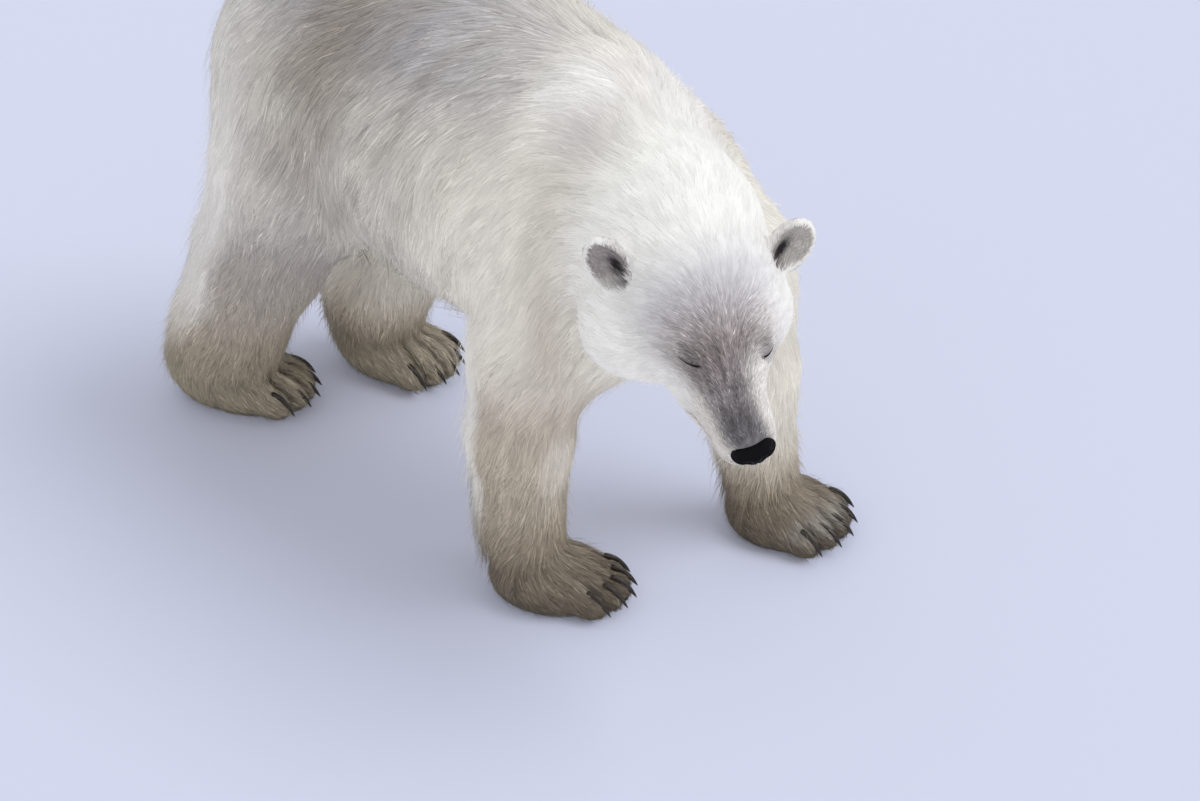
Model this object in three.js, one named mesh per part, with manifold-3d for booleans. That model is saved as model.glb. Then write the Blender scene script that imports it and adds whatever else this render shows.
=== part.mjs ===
// A life-size polar bear standing on four feet, head lowered and turned to its right.
// Millimetres, +Z up. The bear faces -Y and its left side is +X. The forms give the outline
// at the tips of the coat. One smooth body field is polygonised piece by piece, each piece is
// trimmed by the box of its own region, and ears, eyes, nose, tail and claws sit in sockets.
import * as THREE from "three";
import { mergeVertices } from "three/addons/utils/BufferGeometryUtils.js";
import Module from "manifold-3d";

const wasm = await Module();
wasm.setup();

// ---------------------------------------------------------------- driving dimensions
const GAP = 0.4; // clearance between neighbouring pieces
const WITHERS_Z = 995; // height of the back over the shoulders
const RUMP_Z = 1000; // height of the back over the hips
const TRUNK_WIDTH = 520;
const SHIFT_X = -25; // the trunk leans this far to the right over the feet
const HEAD_YAW = 35; // degrees that the head turns to the bear's right
const HEAD_PITCH = 17; // degrees that the head tips down
const EYES_MIDDLE = new THREE.Vector3(-263, -741, 723);
const EYE_SPAN = 136;
const EYE_R = 13;

const rad = THREE.MathUtils.degToRad;
const v3 = (x, y, z) => new THREE.Vector3(x, y, z);

// A frame whose local +Y points forward, +X to the animal's right and +Z up, turned by
// yaw (degrees towards the right) and pitched down, at a given place.
function frameAt(place, yaw, pitch) {
  const forward = v3(
    -Math.sin(rad(yaw)) * Math.cos(rad(pitch)),
    -Math.cos(rad(yaw)) * Math.cos(rad(pitch)),
    -Math.sin(rad(pitch)),
  );
  const left = v3(Math.cos(rad(yaw)), -Math.sin(rad(yaw)), 0);
  const up = v3().crossVectors(forward, left);
  return new THREE.Matrix4().makeBasis(left.clone().negate(), forward, up).setPosition(place);
}
const HEAD = frameAt(EYES_MIDDLE, HEAD_YAW, HEAD_PITCH);

// ---------------------------------------------------------------- distance fields
function ellipsoid(centre, radii, turn = [0, 0, 0], frame = new THREE.Matrix4()) {
  const local = new THREE.Matrix4()
    .makeRotationFromEuler(new THREE.Euler(...turn.map(rad)))
    .setPosition(v3(...centre));
  const m = frame.clone().multiply(local).invert().elements;
  const [a, b, c] = radii;
  return (x, y, z) => {
    const u = (m[0] * x + m[4] * y + m[8] * z + m[12]) / a;
    const v = (m[1] * x + m[5] * y + m[9] * z + m[13]) / b;
    const w = (m[2] * x + m[6] * y + m[10] * z + m[14]) / c;
    const k0 = Math.sqrt(u * u + v * v + w * w);
    const k1 = Math.sqrt((u / a) ** 2 + (v / b) ** 2 + (w / c) ** 2);
    return k1 < 1e-9 ? -Math.min(a, b, c) : (k0 * (k0 - 1)) / k1;
  };
}

// A bone with flesh: a cone between two balls.
function limb(from, to, r1, r2, frame = new THREE.Matrix4()) {
  const a = v3(...from).applyMatrix4(frame);
  const ba = v3(...to).applyMatrix4(frame).sub(a);
  const l2 = ba.lengthSq();
  const rr = r1 - r2;
  const a2 = l2 - rr * rr;
  return (x, y, z) => {
    const px = x - a.x;
    const py = y - a.y;
    const pz = z - a.z;
    const t = px * ba.x + py * ba.y + pz * ba.z;
    const s = t - l2;
    const qx = px * l2 - ba.x * t;
    const qy = py * l2 - ba.y * t;
    const qz = pz * l2 - ba.z * t;
    const x2 = qx * qx + qy * qy + qz * qz;
    const y2 = t * t * l2;
    const z2 = s * s * l2;
    const k = Math.sign(rr) * rr * rr * x2;
    if (Math.sign(s) * a2 * z2 > k) return Math.sqrt(x2 + z2) / l2 - r2;
    if (Math.sign(t) * a2 * y2 < k) return Math.sqrt(x2 + y2) / l2 - r1;
    return (Math.sqrt((x2 * a2) / l2) + t * rr) / l2 - r1;
  };
}

// Joins forms with a fillet of about the size k.
function blend(k, ...forms) {
  return (x, y, z) => {
    let d = forms[0](x, y, z);
    for (let i = 1; i < forms.length; i++) {
      const e = forms[i](x, y, z);
      const h = Math.max(k - Math.abs(d - e), 0) / k;
      d = Math.min(d, e) - (h * h * k) / 4;
    }
    return d;
  };
}

// ---------------------------------------------------------------- the body
const X = SHIFT_X;
const HALF = TRUNK_WIDTH / 2;
const trunk = blend(
  110,
  ellipsoid([X - 8, -130, 690], [HALF + 2, 340, 258]),
  ellipsoid([X * 0.5, 110, 712], [HALF - 14, 360, 232]),
  ellipsoid([0, 295, RUMP_Z - 252], [HALF - 34, 236, 240]),
  limb([X - 22, -275, WITHERS_Z - 128], [X, -40, 852], 128, 122),
  limb([X, -40, 852], [0, 215, RUMP_Z - 118], 122, 118),
  ellipsoid([X - 22, -380, 655], [168, 140, 190]),
);
const shoulders = [
  blend(
    60,
    ellipsoid([X - 148, -335, 690], [112, 170, 235], [-12, 0, -4]),
    limb([X - 168, -362, 600], [-210, -295, 490], 104, 101),
  ),
  blend(
    60,
    ellipsoid([X + 108, -335, 635], [105, 160, 205], [-12, 0, 4]),
    limb([X + 150, -420, 575], [155, -400, 470], 112, 104),
  ),
];
const neck = blend(
  70,
  limb([X - 42, -325, 765], [-124, -490, 760], 174, 150),
  limb([-124, -490, 760], [-172, -585, 740], 150, 124),
);

// Each leg is named by its feet: where the paw's middle stands, how far the toes turn to the
// left, and where its joints are.
const LEGS = [
  {
    name: "front_right",
    fore: true,
    paw: [-199, -330],
    turn: 26,
    top: [-218, -286, 482],
    mid: [-228, -272, 321],
    low: [-214, -261, 127],
    size: { r: [99, 82, 74], palm: [82, 110, 58], spread: 31, toeTip: 124 },
  },
  {
    name: "front_left",
    fore: true,
    paw: [197, -510],
    turn: 18,
    top: [150, -395, 480],
    mid: [166, -420, 321],
    low: [186, -449, 124],
    size: { r: [108, 92, 67] },
  },
  {
    name: "rear_right",
    fore: false,
    paw: [-127, 453],
    turn: 28,
    top: [-140, 310, 560],
    mid: [-150, 398, 348],
    low: [-153, 482, 158],
    heel: [-174, 538, 72],
    size: {},
  },
  {
    name: "rear_left",
    fore: false,
    paw: [113, 320],
    turn: 12,
    top: [140, 290, 560],
    mid: [130, 300, 330],
    low: [105, 369, 161],
    heel: [104, 409, 82],
    size: { r: [150, 108, 94], heel: 54 },
  },
];
const FORE = {
  r: [108, 92, 72],
  palm: [86, 104, 60],
  spread: 37,
  toeTip: 106,
  pawTop: 92,
  kneeZ: 325,
  topZ: 500,
};
const HIND = {
  r: [150, 108, 96],
  heel: 62,
  palm: [78, 116, 58],
  spread: 33,
  toeTip: 106,
  pawTop: 88,
  kneeZ: 345,
  topZ: 530,
};
for (const leg of LEGS) leg.size = { ...(leg.fore ? FORE : HIND), ...leg.size };
const TOES = [-2, -1, 0, 1, 2];
const TOE_R = [22, 36, 27];
const TOE_Z = 28;
const TOE_FAN = 7; // degrees between neighbouring toes, and how fast the outer ones fall back
const PALM = [0, -14, 34];

function pawFrame(leg) {
  return frameAt(v3(leg.paw[0], leg.paw[1], 0), -leg.turn, 0);
}

function legField(leg) {
  const size = leg.size;
  const frame = pawFrame(leg);
  const palm = ellipsoid(PALM, size.palm, [0, 0, 0], frame);
  return blend(
    46,
    limb(leg.top, leg.mid, size.r[0], size.r[1]),
    limb(leg.mid, leg.low, size.r[1], size.r[2]),
    palm,
    ...(leg.fore ? [] : [limb(leg.low, leg.heel, size.r[2] - 8, size.heel)]),
  );
}
const thighs = [-1, 1].map((side) =>
  blend(
    60,
    ellipsoid([side * 120, 315, 660], [115, 178, 250], [12, 0, 0]),
    ellipsoid([side * 130, 235, 580], [98, 120, 140]),
  ),
);

// The head, in its own frame: x to the right, y forward from the eyes, z up.
const NOSE = { at: [0, 170, -24], r: [33, 20, 19] };
const headField = blend(
  30,
  ellipsoid([0, -106, -18], [116, 128, 80], [0, 0, 0], HEAD),
  ellipsoid([0, -122, -56], [136, 98, 84], [0, 0, 0], HEAD),
  ellipsoid([0, -20, -6], [72, 78, 36], [-8, 0, 0], HEAD),
  limb([0, 0, -27], [0, 126, -37], 54, 47, HEAD),
  limb([11, -30, -71], [4, 110, -72], 66, 38, HEAD),
  ellipsoid([96, -137, -71], [109, 101, 78], [0, 0, 0], HEAD),
  ellipsoid([-58, -140, -72], [88, 80, 80], [0, 0, 0], HEAD),
);

const upper = blend(70, trunk, ...shoulders, ...thighs);
const legs = LEGS.map(legField);
const torso = blend(45, upper, neck);
const body = blend(52, torso, headField);
const whole = blend(60, body, ...legs);

// ---------------------------------------------------------------- polygonising
const CORNERS = [];
for (let i = 0; i < 8; i++) CORNERS.push([i & 1, (i >> 1) & 1, (i >> 2) & 1]);
const EDGES = [];
for (let i = 0; i < 8; i++)
  for (const bit of [1, 2, 4]) if (!(i & bit)) EDGES.push([i, i | bit]);
const RIM = 0.03; // a vertex keeps this share of a cell away from the cell's sides

// The surface of a field inside a box of the given frame, as a closed solid: one vertex for
// each cell that the surface crosses, moved on to the surface, and one quad for each crossed
// edge. The box's own sides close it, and they are trimmed off later.
function polygonise(field, frame, low, high, cell) {
  const n = [0, 1, 2].map((i) => Math.ceil((high[i] - low[i]) / cell[i]) + 1);
  const e = frame.elements;
  const at = (x, y, z) =>
    field(
      e[0] * x + e[4] * y + e[8] * z + e[12],
      e[1] * x + e[5] * y + e[9] * z + e[13],
      e[2] * x + e[6] * y + e[10] * z + e[14],
    );
  const place = (i, k) => low[k] + i * cell[k];
  const index = (i, j, k) => (k * n[1] + j) * n[0] + i;
  const value = new Float64Array(n[0] * n[1] * n[2]);
  for (let k = 0; k < n[2]; k++)
    for (let j = 0; j < n[1]; j++)
      for (let i = 0; i < n[0]; i++) {
        const rim =
          i === 0 || j === 0 || k === 0 || i === n[0] - 1 || j === n[1] - 1 || k === n[2] - 1;
        const d = at(place(i, 0), place(j, 1), place(k, 2));
        value[index(i, j, k)] = rim ? Math.max(d, 1) : d;
      }
  const vertexOf = new Int32Array(value.length).fill(-1);
  const points = [];
  for (let k = 0; k < n[2] - 1; k++)
    for (let j = 0; j < n[1] - 1; j++)
      for (let i = 0; i < n[0] - 1; i++) {
        const found = v3();
        let crossings = 0;
        for (const [p, q] of EDGES) {
          const [a, b] = [CORNERS[p], CORNERS[q]];
          const da = value[index(i + a[0], j + a[1], k + a[2])];
          const db = value[index(i + b[0], j + b[1], k + b[2])];
          if (da < 0 === db < 0) continue;
          const t = da / (da - db);
          found.x += place(i + a[0] + (b[0] - a[0]) * t, 0);
          found.y += place(j + a[1] + (b[1] - a[1]) * t, 1);
          found.z += place(k + a[2] + (b[2] - a[2]) * t, 2);
          crossings++;
        }
        if (!crossings) continue;
        found.divideScalar(crossings);
        const inner =
          i > 0 && j > 0 && k > 0 && i < n[0] - 2 && j < n[1] - 2 && k < n[2] - 2;
        if (inner) {
          settle(found, at);
          found.clamp(
            v3(place(i + RIM, 0), place(j + RIM, 1), place(k + RIM, 2)),
            v3(place(i + 1 - RIM, 0), place(j + 1 - RIM, 1), place(k + 1 - RIM, 2)),
          );
        }
        vertexOf[index(i, j, k)] = points.length;
        points.push(found);
      }
  const triangles = [];
  const quad = (a, b, c, d, flip) => {
    const short = points[a].distanceTo(points[c]) < points[b].distanceTo(points[d]);
    const two = short ? [a, b, c, a, c, d] : [a, b, d, b, c, d];
    if (flip) two.reverse();
    triangles.push(...two);
  };
  for (let k = 0; k < n[2] - 1; k++)
    for (let j = 0; j < n[1] - 1; j++)
      for (let i = 0; i < n[0] - 1; i++) {
        const inside = value[index(i, j, k)] < 0;
        const c = (x, y, z) => vertexOf[index(i - x, j - y, k - z)];
        if (j && k && inside !== value[index(i + 1, j, k)] < 0)
          quad(c(0, 0, 0), c(0, 1, 0), c(0, 1, 1), c(0, 0, 1), !inside);
        if (i && k && inside !== value[index(i, j + 1, k)] < 0)
          quad(c(0, 0, 0), c(0, 0, 1), c(1, 0, 1), c(1, 0, 0), !inside);
        if (i && j && inside !== value[index(i, j, k + 1)] < 0)
          quad(c(0, 0, 0), c(1, 0, 0), c(1, 1, 0), c(0, 1, 0), !inside);
      }
  return { points, triangles };
}

// Newton steps of a point towards the surface.
function settle(p, at) {
  const h = 1;
  for (let step = 0; step < 3; step++) {
    const d = at(p.x, p.y, p.z);
    const g = v3(
      at(p.x + h, p.y, p.z) - at(p.x - h, p.y, p.z),
      at(p.x, p.y + h, p.z) - at(p.x, p.y - h, p.z),
      at(p.x, p.y, p.z + h) - at(p.x, p.y, p.z - h),
    ).divideScalar(2 * h);
    p.addScaledVector(g, -d / Math.max(g.lengthSq(), 0.1));
  }
}

// ---------------------------------------------------------------- solids
function solidFrom(points, triangles) {
  const vertProperties = new Float32Array(points.flatMap((p) => [p.x, p.y, p.z]));
  return new wasm.Manifold(
    new wasm.Mesh({ numProp: 3, vertProperties, triVerts: new Uint32Array(triangles) }),
  );
}

function surface(field, frame, low, high, cell) {
  const { points, triangles } = polygonise(field, frame, low, high, cell);
  return solidFrom(
    points.map((p) => p.applyMatrix4(frame)),
    triangles,
  );
}

// Any three.js geometry, placed by a matrix, as a solid.
function solidOf(geometry, matrix = new THREE.Matrix4()) {
  const bare = new THREE.BufferGeometry();
  const source = geometry.index ? geometry.toNonIndexed() : geometry;
  bare.setAttribute("position", source.getAttribute("position"));
  const merged = mergeVertices(bare.applyMatrix4(matrix), 1e-3);
  return new wasm.Manifold(
    new wasm.Mesh({
      numProp: 3,
      vertProperties: merged.attributes.position.array,
      triVerts: new Uint32Array(merged.index.array),
    }),
  );
}

function box(frame, low, high, grow = 0) {
  const size = high.map((h, i) => h - low[i] + 2 * grow);
  const middle = v3(...high.map((h, i) => (h + low[i]) / 2));
  return solidOf(
    new THREE.BoxGeometry(...size),
    frame.clone().multiply(new THREE.Matrix4().setPosition(middle)),
  );
}

const WORLD = new THREE.Matrix4();
const aboveFloor = box(WORLD, [-2000, -2000, 0], [2000, 2000, 3000]);

// ---------------------------------------------------------------- regions of the body
// Each region is a box of its own frame. A region keeps what earlier ones haven't taken.
const regions = [];
const region = (name, frame, low, high, cell) => regions.push({ name, frame, low, high, cell });

const SIDE = 420; // clear of the body on both sides
const FRONT = -760; // clear of the chest
const BACK = 760; // clear of the rump
const OVER = 1200; // clear of the back
const BELOW = -90; // under the floor, where the soles are trimmed
const PAW_HALF = [165, 195]; // half the width and length of a paw's box
const LEG_ROOM = [240, 150]; // how far a foreleg's box goes before and behind its wrist
const HIND_ROOM = [130, 700];
const HIND_SPLIT_X = -13; // between the hind legs, which stand close together
const ARMPIT_X = [-70, 45]; // the right and left forelegs' boxes end here, under the chest
const BELLY_Z = 330;
const WAIST_Y = [-130, 170]; // where the chest meets the barrel, and the barrel the rump

for (const leg of LEGS) {
  const size = leg.size;
  const right = leg.paw[0] < 0;
  const between = leg.fore ? 0 : HIND_SPLIT_X;
  const [x0, x1] = right ? [-SIDE, between] : [between, SIDE];
  const [y0, y1] = leg.fore ? [leg.mid[1] - LEG_ROOM[0], leg.mid[1] + LEG_ROOM[1]] : HIND_ROOM;
  const armpit = right ? [-SIDE, ARMPIT_X[0]] : [ARMPIT_X[1], SIDE];
  const [upperX0, upperX1] = leg.fore ? armpit : [x0, x1];
  const [pawX, pawY] = leg.paw;
  region(
    `${leg.name}_paw`,
    WORLD,
    [Math.max(x0, pawX - PAW_HALF[0]), pawY - PAW_HALF[1], BELOW],
    [Math.min(x1, pawX + PAW_HALF[0]), pawY + PAW_HALF[1], size.pawTop],
    [45, 45, 36],
  );
  region(`${leg.name}_shank`, WORLD, [x0, y0, size.pawTop], [x1, y1, size.kneeZ], [52, 52, 72]);
  region(
    `${leg.name}_upper`,
    WORLD,
    [upperX0, y0, size.kneeZ],
    [upperX1, y1, size.topZ],
    [60, 60, 64],
  );
}
const JAW = { low: [-90, -60, -150], high: [90, 160, -69] };
const SKULL = { low: [-200, -222, -215], high: [240, 240, 160] };
const NECK = frameAt(v3(-92, -452, 770), 24, 6);
region("lower_jaw", HEAD, JAW.low, JAW.high, [30, 36, 28]);
region("head", HEAD, SKULL.low, SKULL.high, [38, 38, 35]);
region("neck", NECK, [-330, 0, -200], [330, 360, 300], [54, 54, 54]);
region("chest", WORLD, [-SIDE, FRONT, BELLY_Z], [SIDE, WAIST_Y[0], OVER], [74, 76, 74]);
region("barrel", WORLD, [-SIDE, WAIST_Y[0], BELLY_Z], [SIDE, WAIST_Y[1], OVER], [74, 100, 74]);
region("rump", WORLD, [-SIDE, WAIST_Y[1], BELLY_Z], [SIDE, BACK, OVER], [74, 76, 74]);

const PAD = 1.3; // cells that a region's surface runs past its box
const pieces = {};
regions.forEach((r, i) => {
  const pad = r.cell.map((c) => c * PAD);
  const low = r.low.map((value, k) => value - pad[k]);
  const high = r.high.map((value, k) => value + pad[k]);
  let solid = surface(whole, r.frame, low, high, r.cell);
  solid = solid.intersect(box(r.frame, r.low, r.high)).intersect(aboveFloor);
  for (const taken of regions.slice(0, i))
    solid = solid.subtract(box(taken.frame, taken.low, taken.high, GAP));
  pieces[r.name] = solid;
});

// ---------------------------------------------------------------- toes and claws
function ball(place, radii, grow = 0, sides = 8) {
  const size = new THREE.Matrix4().makeScale(...radii.map((r) => r + grow));
  const sphere = new THREE.SphereGeometry(1, sides, Math.round(sides * 0.75));
  return solidOf(sphere, place.clone().multiply(size));
}

// A toe's own frame: its tip is at (0, 0), it points along +Y and z is up from the floor.
function toeFrame(leg, size, i) {
  const local = new THREE.Matrix4().makeRotationZ(rad(-TOE_FAN * i));
  local.setPosition(v3(i * size.spread, size.toeTip - TOE_FAN * i * i, 0));
  return pawFrame(leg).multiply(local);
}

// A claw is a cone bent downwards: its root lies in the toe, it runs over the toe's end, and its
// point is clear of the floor.
const CLAW = { length: 46, r: 6, sides: 5, rings: 2, root: 26, z: 47, droop: 35 };
function claw(frame, grow) {
  const cone = new THREE.CylinderGeometry(grow, CLAW.r + grow, CLAW.length, CLAW.sides, CLAW.rings);
  const place = cone.getAttribute("position");
  for (let i = 0; i < place.count; i++) {
    const along = place.getY(i) / CLAW.length + 0.5;
    place.setY(i, place.getY(i) + (along < 0.5 ? -grow : grow));
    place.setZ(i, place.getZ(i) - CLAW.droop * along * along);
  }
  const middle = v3(0, CLAW.length / 2 - CLAW.root, CLAW.z);
  return solidOf(cone, frame.clone().multiply(new THREE.Matrix4().setPosition(middle)));
}
for (const leg of LEGS) {
  const size = leg.size;
  const paw = `${leg.name}_paw`;
  const frames = TOES.map((i) => toeFrame(leg, size, i));
  for (const frame of frames) {
    const middle = new THREE.Matrix4().setPosition(v3(0, -TOE_R[1], TOE_Z));
    pieces[paw] = pieces[paw].add(ball(frame.clone().multiply(middle), TOE_R, 0, 6));
  }
  frames.forEach((frame, number) => {
    pieces[`${leg.name}_claw_${number + 1}`] = claw(frame, 0);
    pieces[paw] = pieces[paw].subtract(claw(frame, GAP));
  });
}

// ---------------------------------------------------------------- head fittings
// Where a fitting stands: its x, y and z axes and its middle, in the head's frame.
function spot(at, axes = [v3(1, 0, 0), v3(0, 1, 0), v3(0, 0, 1)]) {
  return HEAD.clone().multiply(new THREE.Matrix4().makeBasis(...axes).setPosition(v3(...at)));
}

pieces.nose = ball(spot(NOSE.at), NOSE.r);
pieces.head = pieces.head.subtract(ball(spot(NOSE.at), NOSE.r, GAP));

// An ear is a rounded blade that leans outwards and back, hollowed at the front.
const EAR = { at: [147, -181, 29], r: [37, 18, 60], up: [0.47, -0.24, 0.85], face: [0.25, 1, 0] };
const CUP = { forward: 15, lift: 7, r: [27, 18, 41] };
for (const side of [-1, 1]) {
  const name = side > 0 ? "ear_right" : "ear_left";
  const up = v3(side * EAR.up[0], EAR.up[1], EAR.up[2]).normalize();
  const front = v3(side * EAR.face[0], EAR.face[1], EAR.face[2]);
  front.addScaledVector(up, -front.dot(up)).normalize();
  const axes = [v3().crossVectors(front, up), front, up];
  const at = v3(side * EAR.at[0], EAR.at[1], EAR.at[2]);
  const hollow = at.clone().addScaledVector(front, CUP.forward).addScaledVector(up, CUP.lift);
  pieces[name] = ball(spot(at, axes), EAR.r).subtract(ball(spot(hollow, axes), CUP.r));
  pieces.head = pieces.head.subtract(ball(spot(at, axes), EAR.r, GAP));
}

// A closed eye: the ball lies in a pocket that opens through the slit between the lids.
const EYE = { at: [EYE_SPAN / 2 - 14, -10, -3], slit: [26, 30, 2.4], outward: 50 };
for (const side of [-1, 1]) {
  const name = side > 0 ? "eye_right" : "eye_left";
  const at = [side * EYE.at[0], EYE.at[1], EYE.at[2]];
  pieces[name] = ball(spot(at), [EYE_R, EYE_R, EYE_R]);
  const pocket = ball(spot(at), [EYE_R, EYE_R, EYE_R], GAP);
  const outward = spot(at).multiply(new THREE.Matrix4().makeRotationZ(rad(-side * EYE.outward)));
  const [wide, deep, tall] = EYE.slit;
  const slit = box(outward, [-wide / 2, 0, -tall / 2], [wide / 2, deep, tall / 2]);
  pieces.head = pieces.head.subtract(pocket).subtract(slit);
}

// ---------------------------------------------------------------- tail
const TAIL = limb([0, 505, 800], [0, 548, 712], 40, 30);
const TAIL_BOX = { low: [-80, 430, 640], high: [80, 620, 880] };
const TAIL_CELL = [26, 26, 28];
const TAIL_GAP = 1; // wider, because the two surfaces are faceted apart
const tailAt = (grow) =>
  surface((x, y, z) => TAIL(x, y, z) - grow, WORLD, TAIL_BOX.low, TAIL_BOX.high, TAIL_CELL);
pieces.tail = tailAt(0);
pieces.rump = pieces.rump.subtract(tailAt(TAIL_GAP));

// ---------------------------------------------------------------- the scene graph
const FUR = new THREE.MeshStandardMaterial({ color: 0xe9e4d8, roughness: 0.9, metalness: 0 });
const PAW_FUR = new THREE.MeshStandardMaterial({ color: 0xa89c8a, roughness: 0.9, metalness: 0 });
const LEATHER = new THREE.MeshStandardMaterial({ color: 0x17161a, roughness: 0.5, metalness: 0 });
const HORN = new THREE.MeshStandardMaterial({ color: 0x2a2422, roughness: 0.4, metalness: 0 });
const EYE_DARK = new THREE.MeshStandardMaterial({ color: 0x120c0a, roughness: 0.2, metalness: 0 });

function materialOf(name) {
  if (name.includes("claw")) return HORN;
  if (name.startsWith("eye")) return EYE_DARK;
  if (name === "nose") return LEATHER;
  return name.endsWith("paw") ? PAW_FUR : FUR;
}

function meshOf(name, solid) {
  const made = solid.getMesh();
  const geometry = new THREE.BufferGeometry();
  geometry.setAttribute("position", new THREE.BufferAttribute(made.vertProperties, 3));
  geometry.setIndex(new THREE.BufferAttribute(made.triVerts, 1));
  const mesh = new THREE.Mesh(geometry, materialOf(name));
  mesh.name = name;
  return mesh;
}

const bear = new THREE.Group();
for (const [name, solid] of Object.entries(pieces)) bear.add(meshOf(name, solid));

// The origin is the middle of the bottom of the box round the bear.
const round = new THREE.Box3().setFromObject(bear);
const middle = round.getCenter(v3());
bear.position.set(-middle.x, -middle.y, -round.min.z);
const root = new THREE.Group();
root.add(bear);
root.updateMatrixWorld(true);

export default root;
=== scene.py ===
"""A life-size polar bear standing with its head lowered and turned to its right, eyes closed.

One skin stands for all the flesh, and tufts of fur lie over it. The nose, the eyes and the
claws are pieces of their own.
"""

import math

import bmesh
import bpy
import numpy as np
from mathutils import Matrix, Vector, kdtree


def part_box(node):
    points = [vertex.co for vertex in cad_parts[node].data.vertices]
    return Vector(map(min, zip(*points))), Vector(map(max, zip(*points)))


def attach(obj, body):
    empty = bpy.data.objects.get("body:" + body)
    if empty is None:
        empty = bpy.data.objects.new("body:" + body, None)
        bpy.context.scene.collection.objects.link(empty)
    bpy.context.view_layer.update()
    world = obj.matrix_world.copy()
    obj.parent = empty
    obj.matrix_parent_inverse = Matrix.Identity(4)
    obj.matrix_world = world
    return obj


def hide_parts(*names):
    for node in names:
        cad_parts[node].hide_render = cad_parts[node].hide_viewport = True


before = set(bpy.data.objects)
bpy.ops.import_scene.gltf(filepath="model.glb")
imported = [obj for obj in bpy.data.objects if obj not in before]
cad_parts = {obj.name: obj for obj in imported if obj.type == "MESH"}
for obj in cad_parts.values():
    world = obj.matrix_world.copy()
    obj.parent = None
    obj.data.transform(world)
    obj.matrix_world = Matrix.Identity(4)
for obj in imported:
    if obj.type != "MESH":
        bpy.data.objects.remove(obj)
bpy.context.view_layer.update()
MM = 0.001
rng = np.random.default_rng(7)

# ------------------------------------------------------------------ forms of the body
# The flesh is one smooth field, in millimetres, in the bear's own frame: it faces -Y, its left
# side is +X and its four feet stand round the origin. A form takes an array of points and
# gives their distances to its surface, negative inside.
FORE_X = -25.0  # the forequarters lean this far to its right
WITHERS_Z, RUMP_Z = 995.0, 1000.0
HALF = 260.0  # half the trunk's width
HEAD_YAW, HEAD_PITCH = 35.0, 17.0
EYES_MIDDLE = (-263.0, -741.0, 723.0)


def frame_at(place, yaw, pitch):
    """A frame at a place whose +Y points forward, +X to the animal's right and +Z up."""
    yaw, pitch = math.radians(yaw), math.radians(pitch)
    forward = np.array((
        -math.sin(yaw) * math.cos(pitch), -math.cos(yaw) * math.cos(pitch), -math.sin(pitch)
    ))
    right = np.array((-math.cos(yaw), math.sin(yaw), 0.0))
    made = np.eye(4)
    made[:3, 0], made[:3, 1], made[:3, 2] = right, forward, np.cross(right, forward)
    made[:3, 3] = place
    return made


def dot(a, b):
    """The products of two lists of vectors, row by row."""
    return np.einsum("ij,ij->i", a, b)


def turn_about(x, y, z):
    """The turn by z, then y, then x degrees about the axes."""
    (cx, cy, cz), (sx, sy, sz) = np.cos(np.radians((x, y, z))), np.sin(np.radians((x, y, z)))
    about_x = np.array(((1, 0, 0), (0, cx, -sx), (0, sx, cx)))
    about_y = np.array(((cy, 0, sy), (0, 1, 0), (-sy, 0, cy)))
    about_z = np.array(((cz, -sz, 0), (sz, cz, 0), (0, 0, 1)))
    return about_x @ about_y @ about_z


def into(base, points):
    """Places of the bear's frame in a frame of their own."""
    return (points - base[:3, 3]) @ base[:3, :3]


def out_of(base, points):
    """Places of a frame of their own in the bear's frame."""
    return points @ base[:3, :3].T + base[:3, 3]


def ellipsoid(centre, radii, turn=(0, 0, 0), base=None):
    """A ball stretched along three axes, at a place of the bear's or of another frame."""
    own = np.eye(4)
    own[:3, :3], own[:3, 3] = turn_about(*turn), centre
    own = own if base is None else base @ own
    radii = np.array(radii, float)

    def form(points):
        q = into(own, points) / radii
        k0 = np.sqrt(dot(q, q))
        q = q / radii
        k1 = np.sqrt(dot(q, q))
        return k0 * (k0 - 1) / np.maximum(k1, 1e-9)

    return form


def limb(start, end, r1, r2, base=None):
    """A bone with flesh: a cone between two balls."""
    a, b = np.array(start, float), np.array(end, float)
    if base is not None:
        a, b = out_of(base, a), out_of(base, b)
    ba = b - a
    l2 = ba @ ba
    rr = r1 - r2
    a2 = l2 - rr * rr

    def form(points):
        p = points - a
        t = p @ ba
        s = t - l2
        q = p * l2 - np.outer(t, ba)
        x2 = dot(q, q)
        y2, z2 = t * t * l2, s * s * l2
        k = np.sign(rr) * rr * rr * x2
        side = (np.sqrt(x2 * a2 / l2) + t * rr) / l2 - r1
        low = np.sqrt(x2 + y2) / l2 - r1
        high = np.sqrt(x2 + z2) / l2 - r2
        return np.where(np.sign(s) * a2 * z2 > k, high, np.where(np.sign(t) * a2 * y2 < k, low, side))

    return form


def join(a, b, k):
    """Two distances as one form with a fillet of about the size k."""
    h = np.maximum(k - np.abs(a - b), 0) / k
    return np.minimum(a, b) - h * h * k / 4


def blend(k, *forms):
    """Forms that run into each other, with fillets of about the size k."""

    def form(points):
        d = forms[0](points)
        for other in forms[1:]:
            d = join(d, other(points), k)
        return d

    return form


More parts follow.
